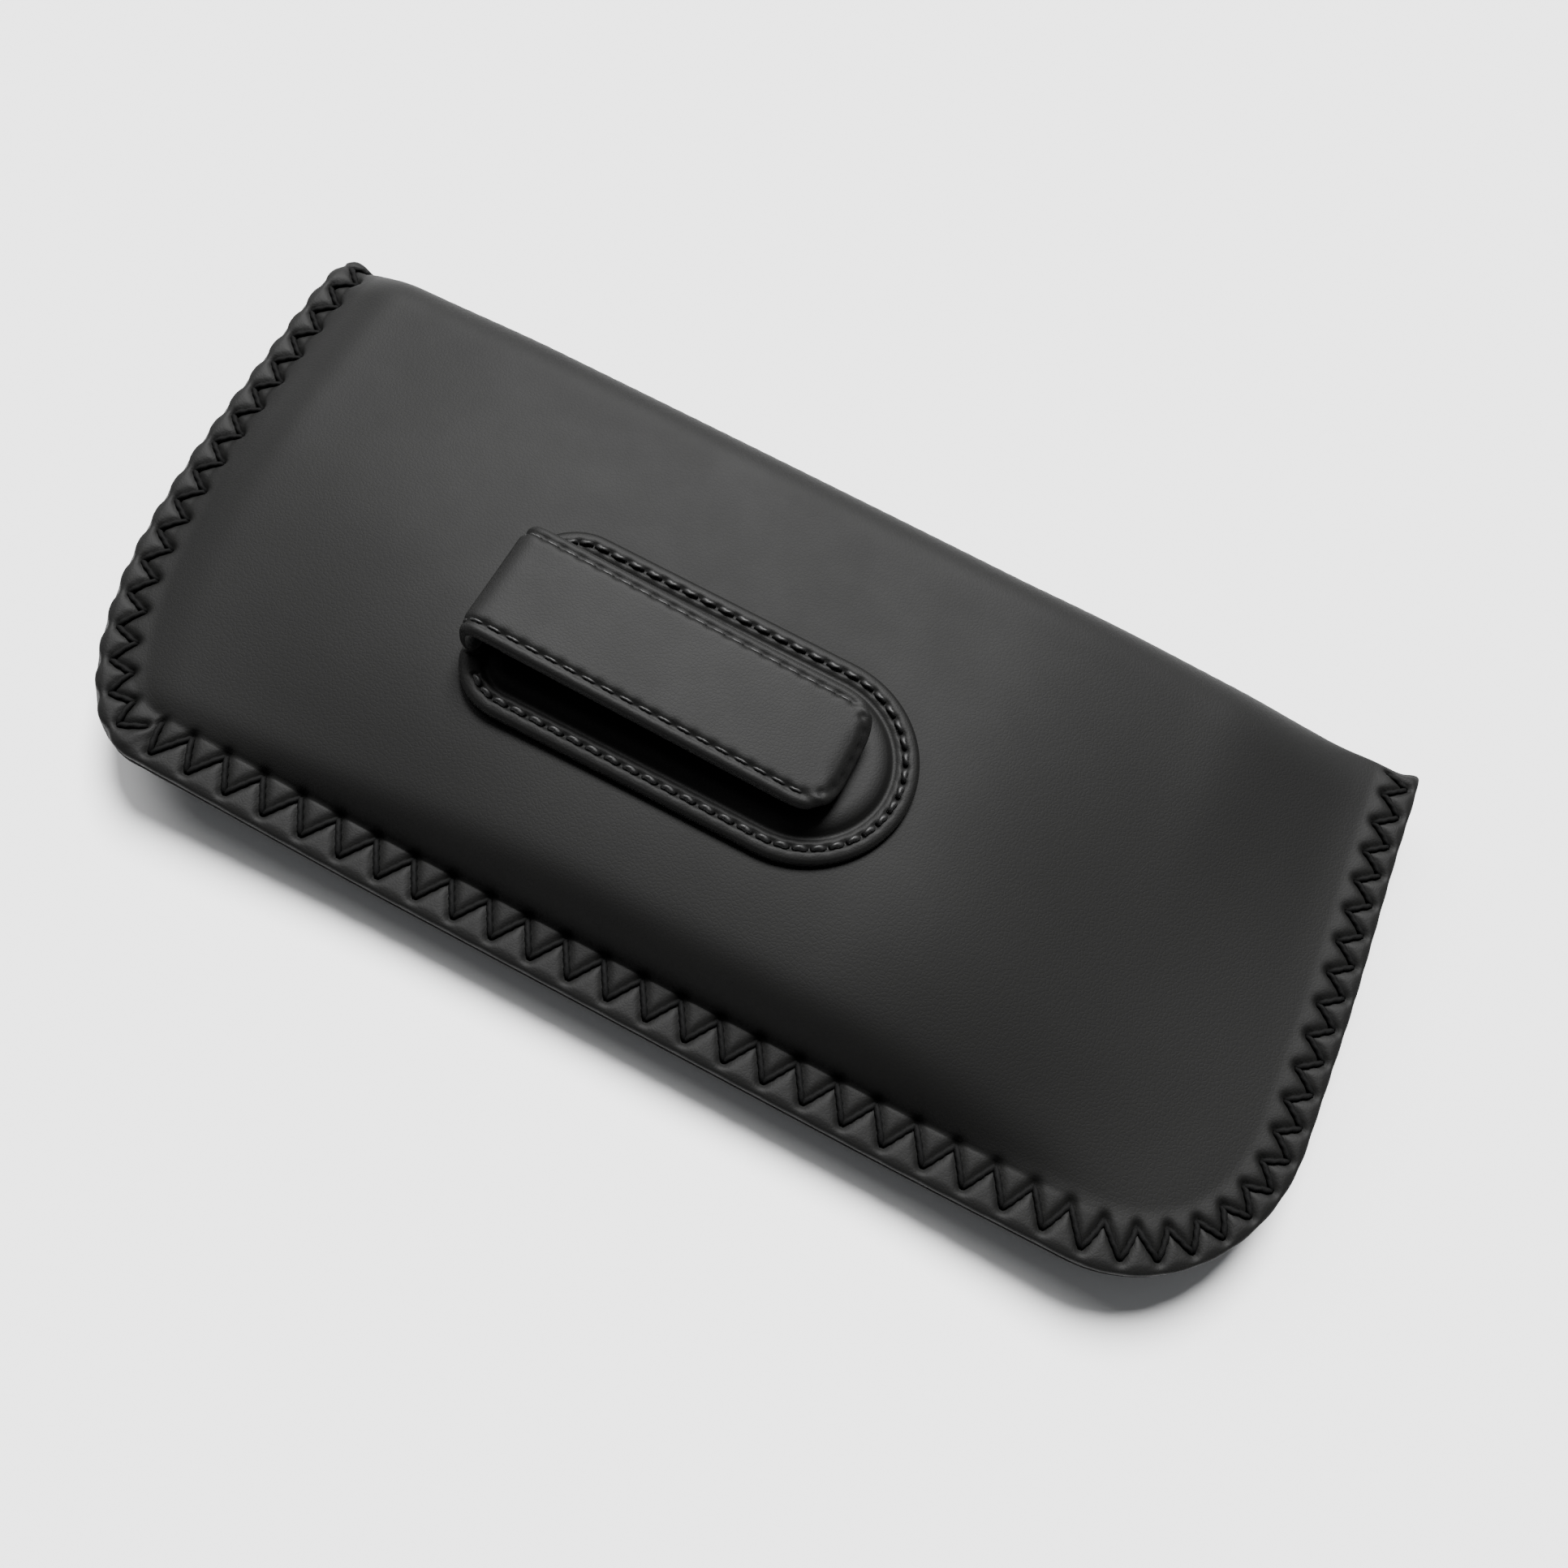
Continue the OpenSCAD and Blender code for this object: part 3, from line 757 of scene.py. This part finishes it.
CASE_LEATHER = leather("case_leather_satin", 0.62, 0.55, 0.3)
CLIP_LEATHER = leather("clip_leather_satin", 0.58, 0.5, 0.28)
CUT_EDGE = raw_edge()
FLESH = flesh_side()
THREAD = thread_finish("thread_black_glossy", 0.3)
ZIGZAG_THREAD = thread_finish("thread_black_matt", 0.04)
LINING = suede_lining()
FOAM = foam_finish()
STEEL = spring_steel()


# ---- The folded leather ----


def round_from_fold(x, y):
    """Distance round from the folded edge to a place on the back panel."""
    return HALF_FOLD + fold_centre(x) - y


def half_outline():
    """The back half of the cut's outline, from the fold at the mouth to the fold at the closed end,
    and its length up to the end of the mouth's corner."""
    a = np.linspace(0, math.pi / 2, 120)
    corner = [X0 + MOUTH_ROUND[0] * (1 - np.cos(a)), Y0 + MOUTH_ROUND[1] * (1 - np.sin(a))]
    end = [X1 - END_ROUND[0] * (1 - np.sin(a)), Y0 + END_ROUND[1] * (1 - np.cos(a))]
    seam_x = np.linspace(X0 + MOUTH_ROUND[0], X1 - END_ROUND[0], 200)[1:-1]
    seam = [seam_x, np.full(len(seam_x), Y0)]
    x, y = np.hstack([corner, seam, end])
    whole = np.vstack([(X0, 0), np.stack([x, round_from_fold(x, y)], 1), (X1, 0)])
    to_corner = whole[: len(a) + 1]
    return whole, np.sum(np.linalg.norm(np.diff(to_corner, axis=0), axis=1))


HALF, CORNER_S = half_outline()
CASE_CUT = Cut(np.vstack([HALF, (HALF * (1, -1))[-2:0:-1]]), 0.42, turn=14)
HALF_LENGTH = CASE_CUT.length / 2
SEAM_ZIGZAG = Zigzag(
    CORNER_S - 1.4, HALF_LENGTH - 4.0, pitch=5.4, inset=1.8, width=4.2, narrow_from=HALF_LENGTH - 98
)
LIP_ZIGZAG = Zigzag(4.0, CORNER_S - 2.4, pitch=5.2, inset=1.7, width=2.7)
# How far along the outline the lips' inner threads run
LIPS_MEET = CORNER_S - 20

# Swell between the stitches and groove under them, and how far the stitches draw the cut edge in
SEAM_RELIEF = (0.28, 0.36)
LIP_RELIEF = (0.32, 0.34)
SEAM_SCALLOP = 0.07
LIP_SCALLOP = 0.5
WAVE_HEIGHT = 0.06
# Depth and width of the rolled edge of the finish
ROLLED_DEPTH = 0.3
ROLLED_W = 0.4


def mirrored(s):
    """Distance along the outline from the mouth's fold, the same on both panels."""
    return np.minimum(s, CASE_CUT.length - s)


def waves(x, w):
    """Broad, shallow waves of leather that has been carried."""
    a = np.sin(x / 19 + 0.6) * np.cos(w / 14 + 1.1) + 0.6 * np.sin(x / 11 - w / 17 + 2.0)
    return WAVE_HEIGHT * a * smooth((w - 4) / 12)


def shell_relief(s, d, x, w):
    """Height of the leather's face over the case's plain surface."""
    m = mirrored(s)
    seam = SEAM_ZIGZAG.relief(m, d, *SEAM_RELIEF)
    lip = LIP_ZIGZAG.relief(m, d, *LIP_RELIEF)
    past_seam = smooth((d - 8) / 8)
    return seam + lip - arc_rise(d, ROLLED_W, ROLLED_DEPTH) + waves(x, w) * past_seam


def shell_outer(plan, s, d):
    m = mirrored(s)
    drawn = SEAM_ZIGZAG.scallop(m, d, SEAM_SCALLOP) + LIP_ZIGZAG.scallop(m, d, LIP_SCALLOP)
    rim = d < PAST_RIM
    plan = plan.copy()
    plan[rim] = CASE_CUT.at(s[rim], (d + drawn)[rim])
    x, w = plan.T
    return case_surface(x, w) + case_normals(x, w) * shell_relief(s, d, x, w)[:, None]


def shell_inner(plan, s, d):
    x, w = plan.T
    return case_surface(x, w, LEATHER_IN)


def case_grid(step, fold_step):
    """Grid points over the flat cut, closer together round the fold."""
    reach, past_fold = HALF_FOLD + Y1 - Y0, HALF_FOLD + 3
    half = np.concatenate([np.arange(0, past_fold, fold_step), np.arange(past_fold + step, reach, step)])
    rows = np.concatenate([-half[:0:-1], half])
    points = []
    for k, w in enumerate(rows):
        x = np.arange(X0, X1, step) + (step / 2 if k % 2 else 0)
        points.append(np.stack([x, np.full(len(x), w)], 1))
    return np.vstack(points)


# Rows of points inwards from the cut edge: close by the rolled edge, even over the seam, then wider
RIM_ROWS = [0, 0.12, 0.3, 0.55, *(0.9 + 0.35 * np.arange(17))]
RIM_ROWS += [6.9, 7.3, 7.8, 8.3, 8.9, 9.6, 10.4, 11.3, 12.3, 13.4, 14.6, 16.0]
INNER_ROWS = [0, 0.8, 2, 4, 6.5, 8, 9.5, 11, 13, 15.5]


def folded_leather():
    outer = cut_mesh(CASE_CUT, RIM_ROWS, case_grid(2.4, 0.9), halve_after=8.0)
    inner = cut_mesh(CASE_CUT, INNER_ROWS, case_grid(5.0, 1.8), keep=4)
    points, faces, parts = two_skins(outer, inner, shell_outer, shell_inner)
    piece = make_piece("case_leather_shell", points, faces, [CASE_LEATHER, FLESH, CUT_EDGE], parts)
    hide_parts("outer_leather")
    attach(piece, "case")


def lining_sheet():
    skin = cut_mesh(CASE_CUT, INNER_ROWS, case_grid(4.0, 1.6), keep=4)
    set_in = 0.35

    def place(face):
        def points(plan, s, d):
            rim = d < PAST_RIM
            plan = plan.copy()
            plan[rim] = CASE_CUT.at(s[rim], d[rim] + set_in)
            return case_surface(*plan.T, face)

        return points

    points, faces, _ = two_skins(skin, skin, place(LINING_OUT), place(LINING_IN))
    piece = make_piece("case_lining", points, faces, [LINING])
    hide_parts("lining")
    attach(piece, "case")


def foam_pad(name, node, back):
    """A thin crowned pad between the leather and the lining of one panel."""
    inset, crown_w, half_share = 13.5, 2.5, 0.44
    low, high = box_mm(node)
    x = np.linspace(low[0] + 2, high[0] - 1, 80)
    # The pad stays as far from the rounded corners as from the seam
    behind, ahead = np.maximum(X0, x - 13), np.minimum(X1, x + 26)
    y_seam = np.maximum.reduce([y_low(x), y_low(behind), y_low(ahead)]) + inset
    y_back = fold_centre(x) - 0.6
    outline = np.vstack([np.stack([x, y_seam], 1), np.stack([x, y_back], 1)[::-1]])
    cut = Cut(outline, 1.6, turn=18)
    skin = cut_mesh(cut, [0, 0.3, 0.8, 1.6, 2.8], grid_over((X0, Y0), (X1, Y1), 4.0))

    def place(side):
        def points(plan, s, d):
            x, y = plan.T
            puff = back_puff(x, y) if back else front_puff(x, y)
            upper, lower = mix(*LEATHER_IN, puff), mix(*LINING_OUT, puff)
            crown = 1 - arc_rise(d, crown_w, 1)
            depth = mix(upper, lower, 0.5 + side * half_share * crown)
            z = top_z(x, y) - depth if back else bottom_z(x, y) + depth
            return np.stack([true_x(x, y), y, z], 1)

        return points

    points, faces, _ = two_skins(skin, skin, place(-1), place(1))
    piece = make_piece(name, points, faces, [FOAM])
    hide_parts(node)
    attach(piece, "case")


def case_thread(name, node, zigzag, back, face=LEATHER_OUT, facing=1, until=math.inf):
    """One thread of a zigzag on the case: on the back or the front panel, outside or on the lining."""
    paths = zigzag.stitches(13)
    paths = paths[paths[:, 0, 0] < until]

    def plan(s, d):
        return CASE_CUT.at(s if back else CASE_CUT.length - s, d).T

    def place(s, d):
        return case_surface(*plan(s, d), face)

    def normal(s, d):
        return facing * case_normals(*plan(s, d), face)

    piece = thread_piece(name, paths, place, normal, ZIGZAG_THREAD, radius=0.45, lift=-0.02, dip=0.7)
    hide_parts(node)
    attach(piece, "case")


# ---- The clip's patch ----


def rounded_outline(x0, x1, width, near, far, cy):
    """Outline in plan of a strip about cy, with near corners of one radius and far corners of another."""
    half = width / 2
    corners = [(x1 - far, half - far, far, 0), (x0 + near, half - near, near, 90)]
    corners += [(x0 + near, near - half, near, 180), (x1 - far, far - half, far, 270)]
    points = []
    for x, y, r, start in corners:
        a = np.radians(start + np.linspace(0, 90, 40))
        points.append(np.stack([x + r * np.cos(a), cy + y + r * np.sin(a)], 1))
    return np.vstack(points)


PATCH_END_R = PATCH_W / 2 - 0.01
PATCH_OUTLINE = rounded_outline(PATCH_LOW[0], PATCH_HIGH[0], PATCH_W, PATCH_CORNER, PATCH_END_R, CLIP_Y)
PATCH_CUT = Cut(PATCH_OUTLINE, 0.3, turn=3)
FLOOR = PATCH_LOW[2]
MARGIN_TOP = FLOOR + 1.2
RAISED_TOP = PATCH_HIGH[2]


def patch_row_range():
    """Where the row of stitches starts and ends on the patch's outline, each side of the slit."""
    in_corner = 2.5
    ends = []
    for side in (-1, 1):
        place = (PATCH_LOW[0] + in_corner, CLIP_Y + side * (PATCH_W / 2 - in_corner))
        ends.append(PATCH_CUT.s[np.argmin(np.sum((PATCH_CUT.points - place) ** 2, 1))])
    first, last = ends
    return first, last + (PATCH_CUT.length if last < first else 0)


def profile(d, stops):
    """A height that eases between (distance, height) stops."""
    at = np.array([s[0] for s in stops])
    height = np.array([s[1] for s in stops])
    k = np.clip(np.searchsorted(at, d) - 1, 0, len(stops) - 2)
    t = (d - at[k]) / (at[k + 1] - at[k])
    return mix(height[k], height[k + 1], smooth(t))


PATCH_FIRST, PATCH_LAST = patch_row_range()


def patch_top(plan, s, d):
    """The margin, the groove round the raised middle and its rounded rim."""
    inset = np.minimum(d, 8)
    margin = [(0, -0.45), (0.45, -0.06), (1.2, 0.08), (2.5, 0.02), (3.35, -0.42)]
    stops = [(at, MARGIN_TOP + height) for at, height in margin]
    stops += [(4.5, RAISED_TOP - 0.25), (5.4, RAISED_TOP), (8, RAISED_TOP)]
    z = profile(inset, stops)
    run = np.where(s < PATCH_FIRST, s + PATCH_CUT.length, s)
    z = z + row_relief(run, inset, PATCH_FIRST, PATCH_LAST, ROW_STITCH, PATCH_ROW, 0.4)
    x, y = plan.T
    # Pressed flat where the clip bends up out of the slit
    along, across = x - BEND[0] + 2.2, np.abs(y - CLIP_Y) - ARM_W / 2 + 0.6
    z = mix(z, FLOOR + 0.25, (1 - smooth(along / 2.0)) * (1 - smooth(across)))
    return np.stack([x, y, z], 1)


def patch_bottom(plan, s, d):
    return np.column_stack([plan, np.full(len(plan), FLOOR - 0.03)])


def clip_patch():
    rows = [0, 0.12, 0.3, 0.55, 0.85, 1.15, 1.4, 1.65, 1.9, 2.15, 2.4]
    rows += [2.7, 3.0, 3.35, 3.7, 4.1, 4.5, 4.9, 5.4, 6.2]
    grid = grid_over(PATCH_LOW, PATCH_HIGH, 1.0)
    outer = cut_mesh(PATCH_CUT, rows, grid, halve_after=5.0)
    inner = cut_mesh(PATCH_CUT, [0, 1, 3, 5.5], grid[::4], keep=4)
    points, faces, parts = two_skins(outer, inner, patch_top, patch_bottom)
    piece = make_piece("clip_patch_leather", points, faces, [CLIP_LEATHER, FLESH, CUT_EDGE], parts)
    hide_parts("clip_patch")
    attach(piece, "case")


def patch_thread(name, node, z, facing):
    """The patch's row of stitches at one height: above the patch, or under the case's leather."""
    paths = row_paths(PATCH_FIRST, PATCH_LAST, ROW_STITCH, PATCH_ROW, visible=0.62, samples=9)

    def place(s, d):
        return np.column_stack([PATCH_CUT.at(s, d), np.full(len(s), z)])

    def normal(s, d):
        return np.tile([0.0, 0.0, facing], (len(s), 1))

    piece = thread_piece(name, paths, place, normal, THREAD, radius=0.46, lift=0.14, dip=0.55)
    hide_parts(node)
    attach(piece, "case")


# ---- The clip's arm ----

# The upper cover starts under the bend, at this angle up from the arm's direction
ARM_TUCK = math.radians(235)
ARM_BEND_RUN = COVER_TOP * (ARM_TUCK - math.pi / 2)
ARM_TIP_RUN = TIP_R * math.radians(86)
ARM_RUN = ARM_BEND_RUN + ARM_LEN + ARM_TIP_RUN
# How far the covers are pressed down past the strip's edges
ARM_PRESS = 0.42
# How square the bend's outer quarter is: 2 is a circle
BEND_POWER = 3.4
# The spacing of the covers' rows of points, in from their outlines
COVER_ROWS = [0, 0.12, 0.3, 0.55, 0.85, 1.15, 1.4, 1.7, 2.0, 2.25, 2.6, 3.0, 3.4]
COVER_INNER_ROWS = [0, 0.7, 1.5, 2.6, 3.4]


def turned(points):
    """From the arm's own frame, centred on the bend, to the case's frame."""
    x, y, z = points.T
    c, s = math.cos(ARM_SLOPE), math.sin(ARM_SLOPE)
    return np.stack([BEND[0] + x * c + z * s, CLIP_Y + y, BEND[2] - x * s + z * c], 1)


def arm_upper(u, v, depth=0.0):
    """Points of the upper cover: round the bend, along the arm and down over its tip."""
    on_bend, on_tip = u < ARM_BEND_RUN, u > ARM_BEND_RUN + ARM_LEN
    angle = np.where(on_bend, ARM_TUCK - u / COVER_TOP, math.pi / 2)
    angle = np.where(on_tip, math.pi / 2 - (u - ARM_BEND_RUN - ARM_LEN) / TIP_R, angle)
    radius = np.where(on_tip, TIP_R, COVER_TOP) - depth
    # Over the bend the leather keeps flat on top and turns down sharply at its outer side
    c, q = np.abs(np.cos(angle)), np.abs(np.sin(angle))
    outer = on_bend & (angle > math.pi / 2) & (angle < math.pi)
    radius = np.where(outer, radius * (c**BEND_POWER + q**BEND_POWER) ** (-1 / BEND_POWER), radius)
    x = radius * np.cos(angle) + np.where(on_tip, ARM_LEN, np.clip(u - ARM_BEND_RUN, 0, ARM_LEN))
    z = radius * np.sin(angle) + np.where(on_tip, UNDER_Z, 0)
    return turned(np.stack([x, v, z], 1))


def arm_normal(u, v):
    n = arm_upper(u, v, -0.1) - arm_upper(u, v, 0.1)
    return n / np.linalg.norm(n, axis=1, keepdims=True)


def arm_lower(u, v, depth=0.0):
    """Points of the lower cover's outer face, u from the bend towards the tip."""
    return turned(np.stack([u, v, np.full(len(u), UNDER_Z + depth)], 1))


ARM_CUT = Cut(rounded_outline(0, ARM_RUN, ARM_W, 2.0, 6.6, 0), 0.33, turn=6)
UNDER_X0, UNDER_X1 = 0.5, ARM_LEN + 1.2
UNDER_CUT = Cut(rounded_outline(UNDER_X0, UNDER_X1, ARM_W - 0.3, 2.0, 4.5, 0), 0.4, turn=6)


def row_limits(cut, x_start):
    """Where a row starts and ends on an outline: past x_start on both long sides, round the far end."""
    near = cut.points[:, 0] < x_start
    s = cut.s[near]
    low = cut.points[near, 1] < 0
    return s[low].max(), s[~low].min() + cut.length


ARM_FIRST, ARM_LAST = row_limits(ARM_CUT, 2.0)
UNDER_FIRST, UNDER_LAST = row_limits(UNDER_CUT, UNDER_X0 + 1.5)


def pressed(v):
    """How far a cover is pressed down, past the strip's edges."""
    return ARM_PRESS * smooth((np.abs(v) - STRIP_W / 2 - 0.1) / 0.9)


def covered(s, d, v, cut, first, last):
    """How far a cover's outer face lies under its full height: the pressed margin and its stitches."""
    run = np.where(s < first, s + cut.length, s)
    rolled = arc_rise(d, 0.65, 0.4)
    hump = 0.14 * np.exp(-(((d - 0.85) / 0.45) ** 2))
    row = row_relief(run, d, first, last, ROW_STITCH, ARM_ROW, 0.26)
    return pressed(v) + rolled - hump - row


def arm_cover_grid():
    return grid_over((0, -ARM_W / 2), (ARM_RUN, ARM_W / 2), 0.75)


def arm_upper_cover():
    def outside(plan, s, d):
        u, v = plan.T
        return arm_upper(u, v, covered(s, d, v, ARM_CUT, ARM_FIRST, ARM_LAST))

    def inside_face(plan, s, d):
        u, v = plan.T
        return arm_upper(u, v, COVER_T + pressed(v))

    outer = cut_mesh(ARM_CUT, COVER_ROWS, arm_cover_grid(), halve_after=3.2)
    inner = cut_mesh(ARM_CUT, COVER_INNER_ROWS, arm_cover_grid(), keep=2)
    points, faces, parts = two_skins(outer, inner, outside, inside_face)
    piece = make_piece("arm_cover_top", points, faces, [CLIP_LEATHER, FLESH, CUT_EDGE], parts)
    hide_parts("arm_upper_cover")
    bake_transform(piece)


def arm_lower_cover():
    def outside(plan, s, d):
        u, v = plan.T
        return arm_lower(u, v, covered(s, d, v, UNDER_CUT, UNDER_FIRST, UNDER_LAST))

    def inside_face(plan, s, d):
        u, v = plan.T
        return arm_lower(u, v, UNDER_COVER_T + pressed(v))

    grid = arm_cover_grid()[::2]
    outer = cut_mesh(UNDER_CUT, COVER_ROWS, grid, halve_after=3.2)
    inner = cut_mesh(UNDER_CUT, COVER_INNER_ROWS, grid, keep=2)
    points, faces, parts = two_skins(outer, inner, outside, inside_face)
    piece = make_piece("arm_cover_under", points, faces, [CLIP_LEATHER, FLESH, CUT_EDGE], parts)
    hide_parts("arm_lower_cover")
    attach(piece, "clip_arm")


def arm_thread(name, first, last, place, normal):
    """The row of stitches round one cover, down both long sides and round the tip."""
    paths = row_paths(first, last, ROW_STITCH, ARM_ROW, visible=0.78, samples=9)
    return thread_piece(name, paths, place, normal, THREAD, radius=0.25, lift=0.08, dip=0.5, sides=8)


def arm_upper_thread():
    def place(s, d):
        u, v = ARM_CUT.at(s, d).T
        return arm_upper(u, v, ARM_PRESS)

    def normal(s, d):
        return arm_normal(*ARM_CUT.at(s, d).T)

    piece = arm_thread("arm_stitches_top", ARM_FIRST, ARM_LAST, place, normal)
    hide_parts("arm_upper_thread")
    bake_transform(piece)


def arm_lower_thread():
    def place(s, d):
        u, v = UNDER_CUT.at(s, d).T
        return arm_lower(u, v, ARM_PRESS)

    def normal(s, d):
        u, v = UNDER_CUT.at(s, d).T
        n = arm_lower(u, v, -0.5) - arm_lower(u, v, 0.5)
        return n / np.linalg.norm(n, axis=1, keepdims=True)

    piece = arm_thread("arm_stitches_under", UNDER_FIRST, UNDER_LAST, place, normal)
    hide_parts("arm_lower_thread")
    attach(piece, "clip_arm")


def steel_nodes():
    """The two steel nodes keep their CAD shape and take the steel's finish."""
    for name in ("clip_spring_base", "clip_spring_arm"):
        node = frame["nodes"][name]
        node.data.materials.clear()
        node.data.materials.append(STEEL)


# ---- Stage, light and camera ----


def stage():
    """A floor of pale paper."""
    mesh = bpy.data.meshes.new("floor")
    half = 3.0
    corners = [(-half, -half, 0), (half, -half, 0), (half, half, 0), (-half, half, 0)]
    mesh.from_pydata(corners, [], [(0, 1, 2, 3)])
    floor = bpy.data.objects.new("floor", mesh)
    bpy.context.scene.collection.objects.link(floor)
    made, tree, shader = material("floor_paper", Roughness=0.9, Specular_IOR_Level=0.1)
    colour_by(tree, shader, noise_of(tree, object_space(tree), 1.2, 3), [(0.2, 0.89), (0.8, 0.90)])
    mesh.materials.append(made)


def sun(name, towards, spread_deg, strength):
    """A distant soft light that shines from the given direction."""
    data = bpy.data.lights.new(name, "SUN")
    data.angle = math.radians(spread_deg)
    data.energy = strength
    light = bpy.data.objects.new(name, data)
    light.rotation_euler = Vector(towards).to_track_quat("Z", "Y").to_euler()
    light.location = Vector(towards)
    bpy.context.scene.collection.objects.link(light)


def lights():
    """A strong soft light from above and behind, a weak one from the mouth's side, and a dim sky."""
    sun("key_behind", (-0.17, 0.575, 0.80), 28, 13.0)
    sun("side", (-0.70, 0.34, 0.63), 34, 1.8)
    world = bpy.data.worlds.new("studio")
    world.use_nodes = True
    sky = world.node_tree.nodes["Background"]
    sky.inputs["Color"].default_value = (0.95, 0.97, 1.0, 1)
    sky.inputs["Strength"].default_value = 0.15
    bpy.context.scene.world = world


def camera():
    """A camera to the seam side of the case and well above it, rolled clockwise."""
    azimuth, elevation, roll = (math.radians(a) for a in (10.1, 66.25, 17.95))
    distance, target = 194.2, np.array([5.66, -0.14, 0.0])
    level = math.cos(elevation)
    back = np.array([math.sin(azimuth) * level, -math.cos(azimuth) * level, math.sin(elevation)])
    right = np.array([math.cos(azimuth), math.sin(azimuth), 0.0])
    up = np.cross(back, right)
    cam_x = math.cos(roll) * right + math.sin(roll) * up
    cam_y = -math.sin(roll) * right + math.cos(roll) * up
    place = (target + back * distance) * MM
    data = bpy.data.cameras.new("camera")
    data.sensor_width = 36
    data.lens = 32.61
    data.clip_start = 0.01
    view = bpy.data.objects.new("camera", data)
    rows = [(cam_x[i], cam_y[i], back[i], place[i]) for i in range(3)]
    view.matrix_world = Matrix(rows + [(0, 0, 0, 1)])
    bpy.context.scene.collection.objects.link(view)
    bpy.context.scene.camera = view


camera()
stage()
lights()
folded_leather()
lining_sheet()
foam_pad("back_panel_foam", "back_pad", back=True)
foam_pad("front_panel_foam", "front_pad", back=False)
case_thread("seam_stitches_top", "closing_seam_upper_thread", SEAM_ZIGZAG, back=True)
case_thread("seam_stitches_under", "closing_seam_lower_thread", SEAM_ZIGZAG, back=False)
case_thread("back_lip_stitches_outside", "back_lip_outer_thread", LIP_ZIGZAG, back=True)
case_thread("front_lip_stitches_outside", "front_lip_outer_thread", LIP_ZIGZAG, back=False)
ON_LINING = {"face": LINING_IN, "facing": -1, "until": LIPS_MEET}
case_thread("back_lip_stitches_inside", "back_lip_inner_thread", LIP_ZIGZAG, back=True, **ON_LINING)
case_thread("front_lip_stitches_inside", "front_lip_inner_thread", LIP_ZIGZAG, back=False, **ON_LINING)
clip_patch()
patch_thread("patch_stitches_top", "patch_upper_thread", MARGIN_TOP, facing=1.0)
patch_thread("patch_stitches_under", "patch_lower_thread", CASE_THK - LEATHER_IN[1], facing=-1.0)
arm_upper_cover()
arm_lower_cover()
arm_upper_thread()
arm_lower_thread()
steel_nodes()
